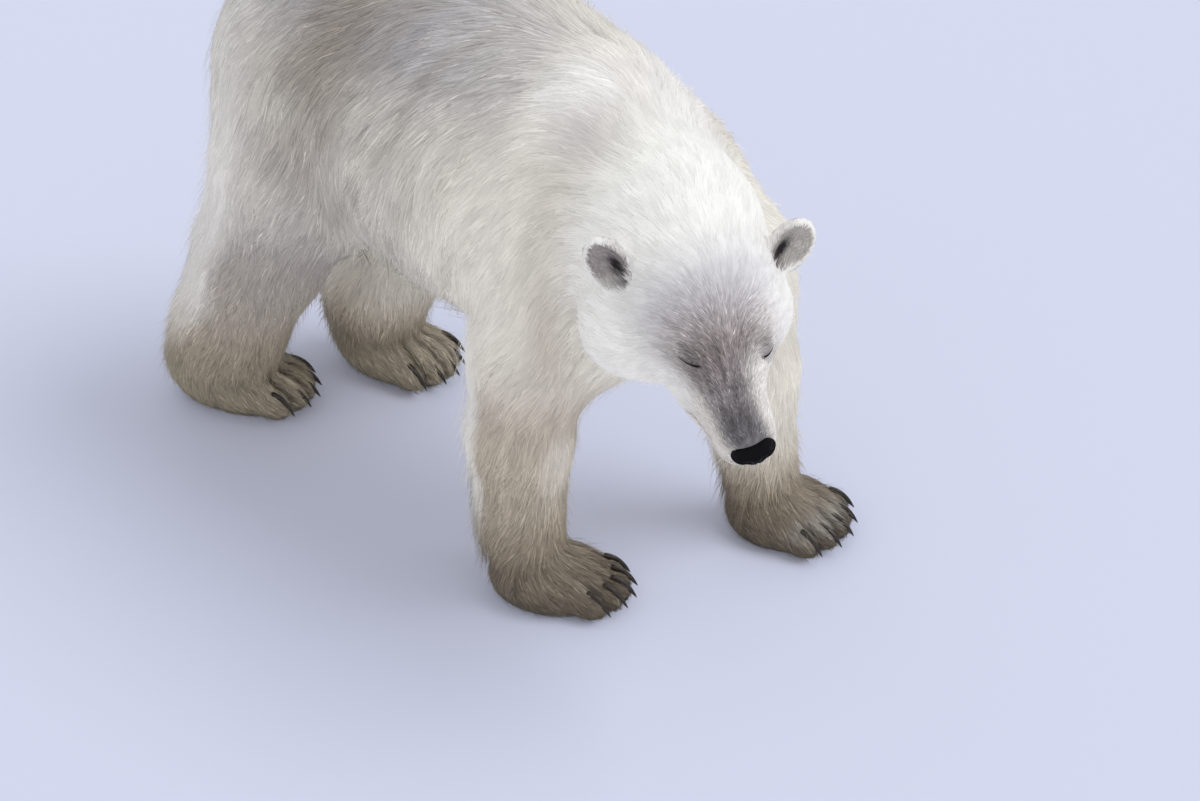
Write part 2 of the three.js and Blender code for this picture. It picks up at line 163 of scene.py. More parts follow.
HEAD = frame_at(EYES_MIDDLE, HEAD_YAW, HEAD_PITCH)
trunk = blend(
    110,
    ellipsoid((FORE_X - 8, -130, 690), (HALF + 2, 340, 258)),
    ellipsoid((FORE_X / 2, 110, 712), (HALF - 14, 360, 232)),
    ellipsoid((0, 295, RUMP_Z - 252), (HALF - 34, 236, 240)),
    limb((FORE_X - 22, -275, WITHERS_Z - 128), (FORE_X, -40, 852), 128, 122),
    limb((FORE_X, -40, 852), (0, 215, RUMP_Z - 118), 122, 118),
    ellipsoid((FORE_X - 22, -380, 655), (168, 140, 190)),
)
shoulder_right = blend(
    60,
    ellipsoid((FORE_X - 148, -335, 690), (112, 170, 235), (-12, 0, -4)),
    limb((FORE_X - 168, -362, 600), (-210, -295, 490), 104, 101),
)
shoulder_left = blend(
    60,
    ellipsoid((FORE_X + 108, -335, 635), (105, 160, 205), (-12, 0, 4)),
    limb((FORE_X + 150, -420, 575), (155, -400, 470), 112, 104),
)
neck = blend(
    70,
    limb((FORE_X - 42, -325, 765), (-124, -490, 760), 174, 150),
    limb((-124, -490, 760), (-172, -585, 740), 150, 124),
)
thighs = [
    blend(
        60,
        ellipsoid((side * 120, 315, 660), (115, 178, 250), (12, 0, 0)),
        ellipsoid((side * 130, 235, 580), (98, 120, 140)),
    )
    for side in (-1, 1)
]
FORE = {"r": (108, 92, 72), "palm": (86, 104, 60), "spread": 37, "tip": 106}
HIND = {"r": (150, 108, 96), "heel": 62, "palm": (78, 116, 58), "spread": 33, "tip": 106}
LEGS = {
    "front_right": {
        "kind": FORE | {"r": (99, 82, 74), "palm": (82, 110, 58), "spread": 31, "tip": 124},
        "paw": (-199, -330), "turn": 26,
        "joints": ((-218, -286, 482), (-228, -272, 321), (-214, -261, 127)),
    },
    "front_left": {
        "kind": FORE | {"r": (108, 92, 67)}, "paw": (197, -510), "turn": 18,
        "joints": ((150, -395, 480), (166, -420, 321), (186, -449, 124)),
    },
    "rear_right": {
        "kind": HIND, "paw": (-127, 453), "turn": 28,
        "joints": ((-140, 310, 560), (-150, 398, 348), (-153, 482, 158), (-174, 538, 72)),
    },
    "rear_left": {
        "kind": HIND | {"r": (150, 108, 94), "heel": 54}, "paw": (113, 320), "turn": 12,
        "joints": ((140, 290, 560), (130, 300, 330), (105, 369, 161), (104, 409, 82)),
    },
}
PALM = (0, -14, 34)
TOE_R = (22, 36, 27)
TOE_Z = 28
TOE_FAN = 7  # degrees from one toe to the next, and mm that the outer ones stand back
TOES = range(-2, 3)


def paw_frame(leg):
    """A paw's frame: on the floor in its middle, with +Y out to the toes."""
    return frame_at((*leg["paw"], 0), -leg["turn"], 0)


def toe_frame(leg, i):
    """A toe's frame: its tip is at the origin, +Y points along it and +Z is up."""
    kind = leg["kind"]
    own = np.eye(4)
    own[:3, :3] = turn_about(0, 0, -TOE_FAN * i)
    own[:3, 3] = (i * kind["spread"], kind["tip"] - TOE_FAN * i * i, 0)
    return paw_frame(leg) @ own


def leg_form(leg):
    """A leg from its joints, with its foot, and with a heel where it has a fourth joint."""
    kind, joints = leg["kind"], leg["joints"]
    r = kind["r"]
    heel = [limb(*joints[2:], r[2] - 8, kind["heel"])] if len(joints) > 3 else []
    return blend(
        46,
        limb(joints[0], joints[1], r[0], r[1]),
        limb(joints[1], joints[2], r[1], r[2]),
        ellipsoid(PALM, kind["palm"], base=paw_frame(leg)),
        *heel,
    )


skull = blend(
    30,
    ellipsoid((0, -106, -18), (116, 128, 80), base=HEAD),
    ellipsoid((0, -122, -56), (136, 98, 84), base=HEAD),
    ellipsoid((0, -20, -6), (72, 78, 36), (-8, 0, 0), HEAD),
    limb((0, 0, -27), (0, 126, -37), 54, 47, HEAD),
    limb((11, -30, -71), (4, 110, -72), 66, 38, HEAD),
    ellipsoid((96, -137, -71), (109, 101, 78), base=HEAD),
    ellipsoid((-58, -140, -72), (88, 80, 80), base=HEAD),
)
upper = blend(70, trunk, shoulder_right, shoulder_left, *thighs)
body = blend(52, blend(45, upper, neck), skull)
leg_forms = {name: leg_form(leg) for name, leg in LEGS.items()}
whole = blend(60, body, *leg_forms.values())

# ------------------------------------------------------------------ places in the part's frame
def middle(node):
    """The middle of a solid's box, in mm."""
    low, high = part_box(node)
    return (np.array(low) + np.array(high)) / 2 / MM


EYE = (54.0, -10.0, -3.0)
EYE_R = 13.0
# The part's origin is the middle of the box under the bear, and the eyes tell how far that is
# from the middle of the four feet.
OFFSET = (middle("eye_left") + middle("eye_right")) / 2 - out_of(HEAD, np.array((0, *EYE[1:])))


def to_bear(points):
    return points / MM - OFFSET


def to_part(points):
    return (points + OFFSET) * MM


def smooth(value, low, high):
    """0 below low, 1 above high and a soft step between them."""
    t = np.clip((value - low) / (high - low), 0, 1)
    return t * t * (3 - 2 * t)


def bump(value, at, width):
    """1 where a value is at its place, falling off over a width to each side."""
    return np.exp(-(((value - at) / width) ** 2))


def spot(points, at, reach):
    """1 at a place, falling off over a reach that may differ along each axis."""
    return np.exp(-(((points - np.array(at)) / np.array(reach, float)) ** 2).sum(axis=1))


def unit(vectors):
    return vectors / np.maximum(np.linalg.norm(vectors, axis=-1, keepdims=True), 1e-9)


def flattened(vectors, normals):
    """Vectors without their part along the normals."""
    return vectors - normals * dot(vectors, normals)[:, None]


# ------------------------------------------------------------------ ears and toes
# The right ear stands up and the left one is turned a little forward. grey: inside the cup.
EAR = {
    1: {
        "at": (149, -182, 35), "r": (39, 18, 64), "up": (0.47, -0.24, 0.85), "face": (0.25, 1, 0),
        "grey": "#A29B9C",
    },
    -1: {
        "at": (144, -181, 20), "r": (40, 18, 56), "up": (0.50, -0.24, 0.83), "face": (-0.2, 1, 0),
        "grey": "#BDB8B5",
    },
}
CUP = {"forward": 16, "lift": 5, "inside": (13, 0, 17)}  # inside: less than the ear's radii


def ear_frame(side):
    """An ear's frame in the bear's: +Z runs up the ear and +Y out of its mouth."""
    ear = EAR[side]
    up = unit(np.array((side * ear["up"][0], *ear["up"][1:])))
    face = np.array((side * ear["face"][0], *ear["face"][1:]))
    face = unit(face - up * (face @ up))
    own = np.eye(4)
    own[:3, 0], own[:3, 1], own[:3, 2] = np.cross(face, up), face, up
    own[:3, 3] = side * ear["at"][0], *ear["at"][1:]
    return HEAD @ own


EARS = {side: ear_frame(side) for side in (-1, 1)}
ear_forms = {side: ellipsoid((0, 0, 0), EAR[side]["r"], base=at) for side, at in EARS.items()}
cup_forms = {
    side: ellipsoid(
        (0, CUP["forward"], CUP["lift"]),
        tuple(r - less for r, less in zip(EAR[side]["r"], CUP["inside"])),
        base=at,
    )
    for side, at in EARS.items()
}
toe_forms = {
    name: [ellipsoid((0, -TOE_R[1], TOE_Z), TOE_R, base=toe_frame(leg, i)) for i in TOES]
    for name, leg in LEGS.items()
}
TAIL = limb((0, 505, 800), (0, 548, 712), 40, 30)
TOE_TOP = 110.0  # above this height no toe reaches
EAR_REACH = 90.0  # nor any of an ear beyond this from its middle


def toe_distance(points):
    """The distance to the nearest toe."""
    toes = [toe(points) for forms in toe_forms.values() for toe in forms]
    return np.min(toes, axis=0)


def from_ears(points):
    """How far each point is from the middle of the nearer ear."""
    return np.min([np.linalg.norm(points - at[:3, 3], axis=1) for at in EARS.values()], axis=0)


def flesh(points):
    """The distance to the outline at the tips of the coat, with ears, toes and tail."""
    d = whole(points)
    d = join(d, TAIL(points), 25)
    low = points[:, 2] < TOE_TOP
    d[low] = join(d[low], toe_distance(points[low]), 10)
    for side, at in EARS.items():
        near = np.linalg.norm(points - at[:3, 3], axis=1) < EAR_REACH
        p = points[near]
        blade = ear_forms[side](p) + 2
        d[near] = np.maximum(join(d[near], blade, 16), 1 - cup_forms[side](p))
    return d


# ------------------------------------------------------------------ the parts of the coat
# depth: how far the skin lies inside the tips; long, wide: a tuft; lift: degrees that it rises;
# close: tufts for each square centimetre; lock: how far apart the locks stand; vary: how much
# one tuft's tone differs from the next. Lengths are in mm.
PARTS = {
    "back": {"depth": 10, "long": 70, "wide": 3.0, "lift": 5.5, "close": 4.2, "lock": 18, "vary": 0.22},
    "shoulder": {"depth": 9, "long": 60, "wide": 2.8, "lift": 5.5, "close": 4.8, "lock": 16, "vary": 0.15},
    "thigh": {"depth": 10, "long": 66, "wide": 3.0, "lift": 5.5, "close": 4.3, "lock": 17, "vary": 0.22},
    "neck": {"depth": 8, "long": 46, "wide": 2.6, "lift": 5, "close": 6.0, "lock": 13, "vary": 0.03},
    "arm": {"depth": 9, "long": 52, "wide": 2.6, "lift": 6, "close": 5.8, "lock": 14, "vary": 0.22},
    "shank": {"depth": 8, "long": 46, "wide": 2.3, "lift": 8, "close": 7.5, "lock": 12, "vary": 0.28},
    "paw": {"depth": 5, "long": 22, "wide": 2.0, "lift": 10, "close": 12, "lock": 9, "vary": 0.32},
    "tail": {"depth": 9, "long": 40, "wide": 2.6, "lift": 12, "close": 6, "lock": 10, "vary": 0.15},
    "skull": {"depth": 4, "long": 17, "wide": 1.7, "lift": 6, "close": 17, "lock": 7, "vary": 0.17},
    "cheek": {"depth": 7, "long": 27, "wide": 2.0, "lift": 7, "close": 10, "lock": 10, "vary": 0.09},
    "face": {"depth": 3.5, "long": 15, "wide": 1.5, "lift": 8, "close": 26, "lock": 5, "vary": 0.36},
    "muzzle": {"depth": 2.5, "long": 12, "wide": 1.5, "lift": 8, "close": 34, "lock": 3.5, "vary": 0.38},
    "ear": {"depth": 1, "long": 7, "wide": 1.5, "lift": 16, "close": 34, "lock": 5, "vary": 0.28},
}
NAMES = list(PARTS)
SOFTNESS = 22.0  # how far a part's coat runs into its neighbour's


def shares(points):
    """How much of each part's coat there is at each point, as an array of points by parts."""
    h = into(HEAD, points)
    z = points[:, 2]
    toes = np.where(z < TOE_TOP, toe_distance(points), 500)
    ears = np.min([np.maximum(ear_forms[s](points), 1 - cup_forms[s](points)) for s in EARS], axis=0)
    groups = {
        "back": trunk(points) + 6,
        "shoulder": np.minimum(shoulder_right(points), shoulder_left(points)) - 8,
        "thigh": np.minimum(thighs[0](points), thighs[1](points)) - 4,
        "neck": neck(points) - 4,
        "tail": TAIL(points) - 14,
        "leg": np.minimum(np.min([form(points) for form in leg_forms.values()], axis=0), toes),
        "head": skull(points) - 8,
        "ear": np.minimum(ears * 2.5, 200) - 22,
    }
    far = np.stack(list(groups.values()), axis=1)
    weight = np.exp((far.min(axis=1, keepdims=True) - far) / SOFTNESS)
    weight /= weight.sum(axis=1, keepdims=True)
    of = {name: weight[:, k] for k, name in enumerate(groups)}
    # the leg's coat goes over from arm to shank to paw, and the head's from skull to muzzle
    knee, wrist = smooth(z, 170, 430), smooth(z, 50, 140)
    of["arm"] = of["leg"] * knee
    of["shank"] = of["leg"] * (1 - knee) * wrist
    of["paw"] = of["leg"] * (1 - knee) * (1 - wrist)
    wide = np.abs(h[:, 0])
    muzzle = smooth(h[:, 1], 14, 78)
    face = smooth(h[:, 1], -105, -30) * (1 - smooth(wide, 66, 106)) * smooth(h[:, 2], -66, -28)
    cheek = np.maximum(smooth(wide, 78, 120), 1 - smooth(h[:, 2], -74, -28))
    of["muzzle"] = of["head"] * muzzle
    of["face"] = of["head"] * (1 - muzzle) * face
    of["cheek"] = of["head"] * (1 - muzzle) * (1 - face) * cheek
    of["skull"] = of["head"] * (1 - muzzle) * (1 - face) * (1 - cheek)
    return np.stack([of[name] for name in NAMES], axis=1)


def by_name(share):
    """The share of each part's coat, found by the part's name."""
    return {name: share[:, k] for k, name in enumerate(NAMES)}


def mixed(share, key):
    """A value of the parts' table at each point, mixed as the parts are."""
    return share @ np.array([PARTS[name][key] for name in NAMES], float)


# ------------------------------------------------------------------ the skin
VOXEL = 9.5  # the size of the skin's faces, before some are halved
OVERLAP = 0.6  # the solids grow by this much, so that they meet
FACE_BACK = -130.0  # the face's features lie further forward than this
SOLE = 2.0  # the skin's soles lie this far above the floor


def slope(form, points, step=1.0):
    """Unit vectors out of a form, and how steep it is there."""
    made = np.empty_like(points)
    for axis in range(3):
        shift = np.zeros(3)
        shift[axis] = step
        made[:, axis] = (form(points + shift) - form(points - shift)) / (2 * step)
    steep = np.linalg.norm(made, axis=1)
    return made / np.maximum(steep, 1e-6)[:, None], steep


def settle(points, steps):
    """Moves points on to the skin: the outline less the coat's depth."""
    depth = mixed(shares(points), "depth")
    for _ in range(steps):
        d = flesh(points) + depth
        way, steep = slope(flesh, points)
        move = np.clip(-d / np.maximum(steep, 0.5), -12, 12)
        points = points + way * move[:, None]
    points[:, 2] = np.maximum(points[:, 2], SOLE)
    return points


def coords(mesh):
    made = np.empty(len(mesh.vertices) * 3, np.float32)
    mesh.vertices.foreach_get("co", made)
    return made.reshape(-1, 3).astype(float)


def set_coords(mesh, points):
    mesh.vertices.foreach_set("co", points.astype(np.float32).ravel())
    mesh.update()


def places_of(made):
    return np.array([vertex.co for vertex in made.verts])


def put(made, places):
    """Moves the vertices of a bmesh to their places."""
    for vertex, place in zip(made.verts, places):
        vertex.co = place


def mesh_from(made, name):
    """The mesh that a finished bmesh becomes."""
    mesh = bpy.data.meshes.new(name)
    made.to_mesh(mesh)
    made.free()
    return mesh


def add_object(name, data):
    made = bpy.data.objects.new(name, data)
    bpy.context.scene.collection.objects.link(made)
    return made


FLESH_NODES = [
    f"{leg}_{piece}" for leg in LEGS for piece in ("paw", "shank", "upper")
] + ["lower_jaw", "head", "neck", "chest", "barrel", "rump", "ear_left", "ear_right", "tail"]


def ear_blank(side):
    """A closed ear: a flat ball whose front is pressed in to the shape of its cup."""
    made = bmesh.new()
    bmesh.ops.create_icosphere(made, subdivisions=5, radius=1)
    centre = np.array((0, CUP["forward"], CUP["lift"]), float)
    size = np.array(EAR[side]["r"], float) - CUP["inside"]
    q = places_of(made) * (np.array(EAR[side]["r"]) - 1.5)
    apart = (q - centre) / size
    within = 1 - apart[:, 0] ** 2 - apart[:, 2] ** 2
    floor = centre[1] - size[1] * np.sqrt(np.maximum(within, 0)) - 1
    pressed = (within > 0) & (q[:, 1] > floor)
    q[pressed, 1] = floor[pressed]
    put(made, to_part(out_of(EARS[side], q)))
    return made


def grown_copy(node):
    """A solid's own shape, a little larger all round."""
    made = bmesh.new()
    made.from_mesh(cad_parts[node].data)
    bmesh.ops.remove_doubles(made, verts=made.verts, dist=1e-5)
    made.normal_update()
    for vertex in made.verts:
        vertex.co += vertex.normal * OVERLAP * MM
    return made


def cast():
    """All the flesh as one closed mesh: copies of the solids, grown to meet, then remeshed."""
    blanks = [ear_blank(side) for side in EARS]
    blanks += [grown_copy(node) for node in FLESH_NODES if not node.startswith("ear")]
    made = bmesh.new()
    for blank in blanks:
        one = mesh_from(blank, "one")
        made.from_mesh(one)
        bpy.data.meshes.remove(one)
    solids = mesh_from(made, "solids")
    skin = add_object("skin", solids)
    remesh = skin.modifiers.new("one skin", "REMESH")
    remesh.mode = "VOXEL"
    remesh.voxel_size = VOXEL * MM
    bpy.context.view_layer.update()
    graph = bpy.context.evaluated_depsgraph_get()
    cast_mesh = bpy.data.meshes.new_from_object(skin.evaluated_get(graph))
    skin.modifiers.clear()
    skin.data = cast_mesh
    bpy.data.meshes.remove(solids)
    cast_mesh.name = "skin"
    return skin


def refine(skin, wanted):
    """Halves the faces whose corners a test picks."""
    made = bmesh.new()
    made.from_mesh(skin.data)
    picked = wanted(to_bear(coords(skin.data)))
    edges = [e for e in made.edges if picked[e.verts[0].index] and picked[e.verts[1].index]]
    bmesh.ops.subdivide_edges(made, edges=edges, cuts=1, use_grid_fill=True)
    bmesh.ops.triangulate(made, faces=[f for f in made.faces if len(f.verts) > 4])
    made.to_mesh(skin.data)
    made.free()


def even_out(skin, factor):
    """Moves each vertex towards the middle of its neighbours."""
    made = bmesh.new()
    made.from_mesh(skin.data)
    bmesh.ops.smooth_vert(
        made, verts=made.verts, factor=factor, use_axis_x=True, use_axis_y=True, use_axis_z=True
    )
    made.to_mesh(skin.data)
    made.free()


def folded(h):
    """Places of the head's frame with its left half mirrored on to its right."""
    return np.stack((np.abs(h[:, 0]), h[:, 1], h[:, 2]), axis=1)


def near_head(points):
    h = into(HEAD, points)
    return ((h[:, 1] > FACE_BACK) & (skull(points) < 8)) | (from_ears(points) < 76)


def near_features(points):
    """Round the eyes, the nose and the mouth, and in the ears."""
    h = into(HEAD, points)
    eyes = np.linalg.norm(folded(h) - (68, 8, 6), axis=1) < 34
    snout = h[:, 1] > 118
    lips = (h[:, 1] > -10) & (np.abs(h[:, 2] + 70) < 14)
    return ((eyes | snout | lips) & (skull(points) < 8)) | (from_ears(points) < 66)


def near_lids(points):
    return np.linalg.norm(folded(into(HEAD, points)) - (67, 8, 4), axis=1) < 23


def near_paws(points):
    return points[:, 2] < 105


# ------------------------------------------------------------------ the face
def curve_on_skin(start, bend, end, count=28):
    """Points of an arc over the face, from one place in the head's frame to another."""
    t = np.linspace(0, 1, count)[:, None]
    arc = (1 - t) ** 2 * np.array(start) + 2 * t * (1 - t) * np.array(bend) + t * t * np.array(end)
    return settle(out_of(HEAD, arc.astype(float)), 3)


def gap_to(points, line):
    """How far each point is from the nearest point of a line."""
    best = np.full(len(points), 1e9)
    for start, end in zip(line[:-1], line[1:]):
        along = end - start
        t = np.clip((points - start) @ along / (along @ along), 0, 1)
        best = np.minimum(best, np.linalg.norm(points - start - t[:, None] * along, axis=1))
    return best


LID = {
    1: {"outer": (83, -10, 1), "bend": (73, 10, 3), "inner": (55, 21, 11)},
    -1: {"outer": (-76, -6, 4), "bend": (-67, 12, 2), "inner": (-52, 21, 12)},
}
LIPS = {"front": (0, 168, -58), "bend": (70, 140, -74), "corner": (62, 14, -78)}
# what stands out of the face or sinks into it: by how much, where, and how far it reaches
RELIEF = {
    "brow": (3.4, (50, -24, 36), (26, 16, 16)),
    "cheekbone": (2.6, (92, -34, -14), (20, 34, 18)),
    "furrow between the brows": (-2.4, (0, -2, 42), (13, 34, 20)),
    "socket": (-3.4, (64, 12, 6), (26, 24, 22)),
    "upper lid": (5.0, (64, -1, 13), (15, 12, 10)),
    "lower lid": (2.6, (71, 14, -9), (15, 9, 6)),
    "side of the nose": (-1.8, (52, 60, -22), (16, 34, 16)),
    "upper lip": (2.4, (36, 128, -44), (14, 24, 16)),
    "cheek": (13, (78, 4, -84), (46, 52, 34)),
}
FURROW = {"wide": 5.5, "deep": 11}  # between the toes


def mirrored(place, side):
    return (side * place[0], *place[1:])


def face_lines():
    """The slits between the lids and between the lips, on each side."""
    lines = {}
    for side in (-1, 1):
        lines[f"slit {side}"] = curve_on_skin(*LID[side].values())
        lines[f"lips {side}"] = curve_on_skin(*(mirrored(LIPS[k], side) for k in LIPS))
    return lines


def from_slits(points, lines):
    """How far each point is from the nearer slit between the lids."""
    return np.min([gap_to(points, lines[f"slit {side}"]) for side in (-1, 1)], axis=0)


def relief(points, lines):
    """How far the face stands out of its plain form, in mm: brows, lids, lips and cheekbones."""
    h = into(HEAD, points)
    made = sum(height * spot(folded(h), at, size) for height, at, size in RELIEF.values())
    for side in (-1, 1):
        slit = gap_to(points, lines[f"slit {side}"])
        made -= 4.0 * bump(slit, 0, 1.5)
        made -= 1.2 * bump(slit, 9, 1.8) * smooth(h[:, 2], 6, 10)
        lips = gap_to(points, lines[f"lips {side}"])
        made -= 2.6 * bump(lips, 0, 2.2)
        made += 1.2 * bump(lips, 6, 4)
    cleft = bump(h[:, 0], 0, 1.6) * smooth(h[:, 1], 150, 160) * smooth(-h[:, 2], 40, 46)
    return made - 1.8 * cleft


def toe_gaps(points):
    """1 in the furrows between the toes and 0 elsewhere."""
    made = np.zeros(len(points))
    for leg in LEGS.values():
        for i in TOES[1:]:
            local = into(toe_frame(leg, i - 0.5), points)
            furrow = bump(local[:, 0], 0, FURROW["wide"]) * smooth(local[:, 1], -105, -50)
            made = np.maximum(made, furrow * (np.abs(local[:, 1]) < 110))
    return made * (points[:, 2] < 100)


def raised(points, lines):
    """How far the skin stands out of its plain form at each point, in mm."""
    out = np.zeros(len(points))
    on_face = (into(HEAD, points)[:, 1] > FACE_BACK) & (skull(points) < 25)
    out[on_face] = relief(points[on_face], lines)
    low = points[:, 2] < TOE_TOP
    out[low] -= FURROW["deep"] * toe_gaps(points[low])
    return out


def make_skin():
    """The skin on its outline, finest at the face and paws, with the relief raised on it."""
    skin = cast()
    set_coords(skin.data, to_part(settle(to_bear(coords(skin.data)), 3)))
    even_out(skin, 0.5)
    refine(skin, lambda p: near_head(p) | near_paws(p))
    refine(skin, near_features)
    refine(skin, near_lids)
    points = settle(to_bear(coords(skin.data)), 2)
    set_coords(skin.data, to_part(points))
    even_out(skin, 0.4)
    points = settle(to_bear(coords(skin.data)), 2)
    lines = face_lines()
    way, _ = slope(flesh, points)
    points += way * raised(points, lines)[:, None]
    points[:, 2] = np.maximum(points[:, 2], SOLE)
    set_coords(skin.data, to_part(points))
    skin.data.shade_smooth()
    return skin, points, lines


# ------------------------------------------------------------------ the lie of the coat
SPINE_Z = 965
# on the trunk: how much the fur points outwards, then backwards and up, each first on the spine
# and then what the flanks add to it
TRUNK_LIE = {
    "back": (0.7, (0.9, -0.6), (-0.4, -0.8)),
    "shoulder": (0.5, (0.95, -0.5), (-0.4, -0.8)),
    "thigh": (0.3, (0.45, -0.28), (-0.7, -0.5)),
}
PLAIN_LIE = {
    "neck": (0.36, 0.9, -0.26), "arm": (0.0, 0.42, -1.0), "shank": (0.0, 0.34, -1.0),
    "tail": (0.0, 0.45, -1.0),
}
# in the head's frame: how much the fur spreads for each mm to the side, then forwards and up
HEAD_LIE = {
    "muzzle": (0.012, -1, 0.1), "face": (0.022, -1, 0.25), "skull": (0.007, -1, 0.15),
    "cheek": (0.004, -0.9, -0.55),
}


def wander(points, size, seed):
    """A smooth drift between -1 and 1 with waves about as long as a size in mm."""
    own = np.random.default_rng(seed)
    made = np.zeros(len(points))
    for _ in range(5):
        wave = unit(own.normal(size=3)) * (2 * math.pi / size) * own.uniform(0.6, 1.4)
        made += np.sin(points @ wave + own.uniform(0, 2 * math.pi))
    return made / 3


def guides(points):
    """For each part, the way its fur points before it is laid on the skin."""
    n = len(points)
    z = points[:, 2]
    away = {name: np.zeros((n, 3)) for name in PARTS}
    fall = smooth(SPINE_Z - z, 0, 190)
    out = np.clip((points[:, 0] - FORE_X * 0.4) / 110, -1, 1)
    for name, (aside, along, up) in TRUNK_LIE.items():
        away[name] = np.stack((aside * out, along[0] + along[1] * fall, up[0] + up[1] * fall), 1)
    for name, way in PLAIN_LIE.items():
        away[name] += way
    for leg in LEGS.values():
        at = paw_frame(leg)
        local = into(at, points)
        near = (z < 160) & (np.abs(local[:, 0]) < 130) & (np.abs(local[:, 1]) < 190)
        fan = np.stack((0.006 * local[:, 0], np.ones(n), -0.55 * np.ones(n)), 1)
        fan[:, 1] = np.where(local[:, 1] < -60, 0.1, 1.0)
        away["paw"][near] = unit(fan @ at[:3, :3].T)[near]
    wide = into(HEAD, points)[:, 0]
    for name, (aside, forwards, up) in HEAD_LIE.items():
        way = np.stack((aside * wide, forwards * np.ones(n), up * np.ones(n)), 1)
        away[name] = way @ HEAD[:3, :3].T
    for at in EARS.values():
        local = into(at, points)
        near = np.linalg.norm(local, axis=1) < EAR_REACH
        rise = np.stack((0.012 * local[:, 0], np.zeros(n), np.ones(n)), 1)
        away["ear"][near] = (rise @ at[:3, :3].T)[near]
    return away


def lie_of(points, normals, share):
    """The way the coat lies at each point: along the skin, blown a little to each side."""
    away = guides(points)
    made = np.zeros_like(points)
    for k, name in enumerate(NAMES):
        made += unit(away[name]) * share[:, k : k + 1]
    made = unit(flattened(made, normals))
    side = np.cross(normals, made)
    part = by_name(share)
    sway = 0.20 * wander(points, 210, 3) + 0.12 * wander(points, 70, 4)
    sway *= 1 - 0.7 * part["muzzle"] - 0.5 * part["face"]
    return unit(made + side * sway[:, None])


# ------------------------------------------------------------------ colours
def linear(code):
    """A colour written in sRGB hex as the linear values that a shader reads."""
    srgb = np.array([int(code[i : i + 2], 16) for i in (1, 3, 5)]) / 255
    return np.where(srgb <= 0.04045, srgb / 12.92, ((srgb + 0.055) / 1.055) ** 2.4)


COAT = {
    "back": "#CFCAC5", "shoulder": "#E7E3DB", "thigh": "#C0BAB2", "neck": "#F5F5F2",
    "arm": "#E2DBD3", "shank": "#BFB4A7", "paw": "#83786D", "tail": "#D8D4CE",
    "skull": "#F1F0F2", "cheek": "#FBFAF9", "face": "#E9E6E6", "muzzle": "#E2DEDB",
    "ear": "#F4F2F2",
}
SADDLE = linear("#ABA9AD")  # along the back behind the shoulders
HAUNCH = linear("#90877F")  # in front of the hips
STREAK = linear("#97908A")  # the greyer strands of the back and flanks
PALE = linear("#DEDDDD")  # behind the thighs
CREAM_AND_PAINTED_LIGHT = linear("#F1EEE5")  # cream of the sides of the chest; painted light on the left legs and on the front of the right front leg
BEIGE_AND_SHADE = linear("#CBC2B7")  # the fronts of the shoulders: beige fur, with painted shade in the crease there
HOLLOW_SHADE = linear("#C8C4C3")  # painted shade in the hollow between the hump and the neck
HOLLOW_SHADE_SPOT = (-172, -380, 926), 58
LEG = {
    15: "#5F574B", 65: "#71685C", 140: "#9C907F", 245: "#B6AB9B", 345: "#BFB4A6", 440: "#C6BCAF",
    520: "#DDD6CD", 620: "#EDE9E3",
}  # by height in mm
HIND_PAW = linear("#A39A89")  # the hind feet and what is just above them
SHADE = linear("#A19D9E")  # painted shade over the muscles of the right hind leg
# the grey of the face, from the crown to the nose, at each distance forward in mm, with how far
# its middle lies to the right and how far it reaches to each side
MASK = {
    -205: ("#F1F1F2", 10, 140), -130: ("#CCCCD5", 21, 121), -95: ("#AFADB7", 23, 104),
    -65: ("#A8A4AC", 23, 94), -33: ("#9D9598", 18, 89), 0: ("#867D7E", 12, 88),
    30: ("#7D7476", 26, 62), 60: ("#7D7679", 20, 45), 95: ("#7B767A", 17, 38),
    130: ("#5F5C60", 13, 37), 160: ("#68656A", 10, 40),
}
CREST_LIGHT = linear("#FAFBFD")  # painted light on top of the withers, where they face the sky
CREST_LIGHT_SPOTS = (((-110, -335, 955), 65), ((20, -390, 905), 80))  # each a place and its reach
SLATE = linear("#5B5557")  # round the eyes
BLAZE = linear("#E8E5E4")  # a paler line down the nose
LID_SKIN = linear("#120E10")
# brown lip skin, and painted shade along the line of the mouth
LIP_SKIN_AND_SHADE = linear("#5B4B4A")
INNER_EAR = linear("#231F21")
WHITE_AND_PAINTED_LIGHT = linear("#FFFEFC")  # the rims of the ears, and behind the legs their long pale hair with painted light on its shaded side
TOE_TOP_LIGHT = linear("#BDBAB4")  # painted light on the tops of the toes of the left front foot
OLIVE = linear("#61594D")  # under the feet
DARK_FUR_AND_SHADE = linear("#2E2822")  # painted shade in the furrows between the toes, and dark fur here and there over the feet
WHITEST = 0.96  # no hair gives back more light than this


def mix(colour, other, amount):
    """A colour that passes over to another by an amount for each point."""
    amount = np.clip(amount, 0, 1)[:, None]
    return colour * (1 - amount) + other * amount


def ramp(value, stops):
    """Colours, or numbers, that pass from one stop to the next as a value grows."""
    made = np.array(list(stops.values()), float)
    if made.ndim == 1:
        return np.interp(value, list(stops), made)
    return np.stack([np.interp(value, list(stops), column) for column in made.T], axis=1)


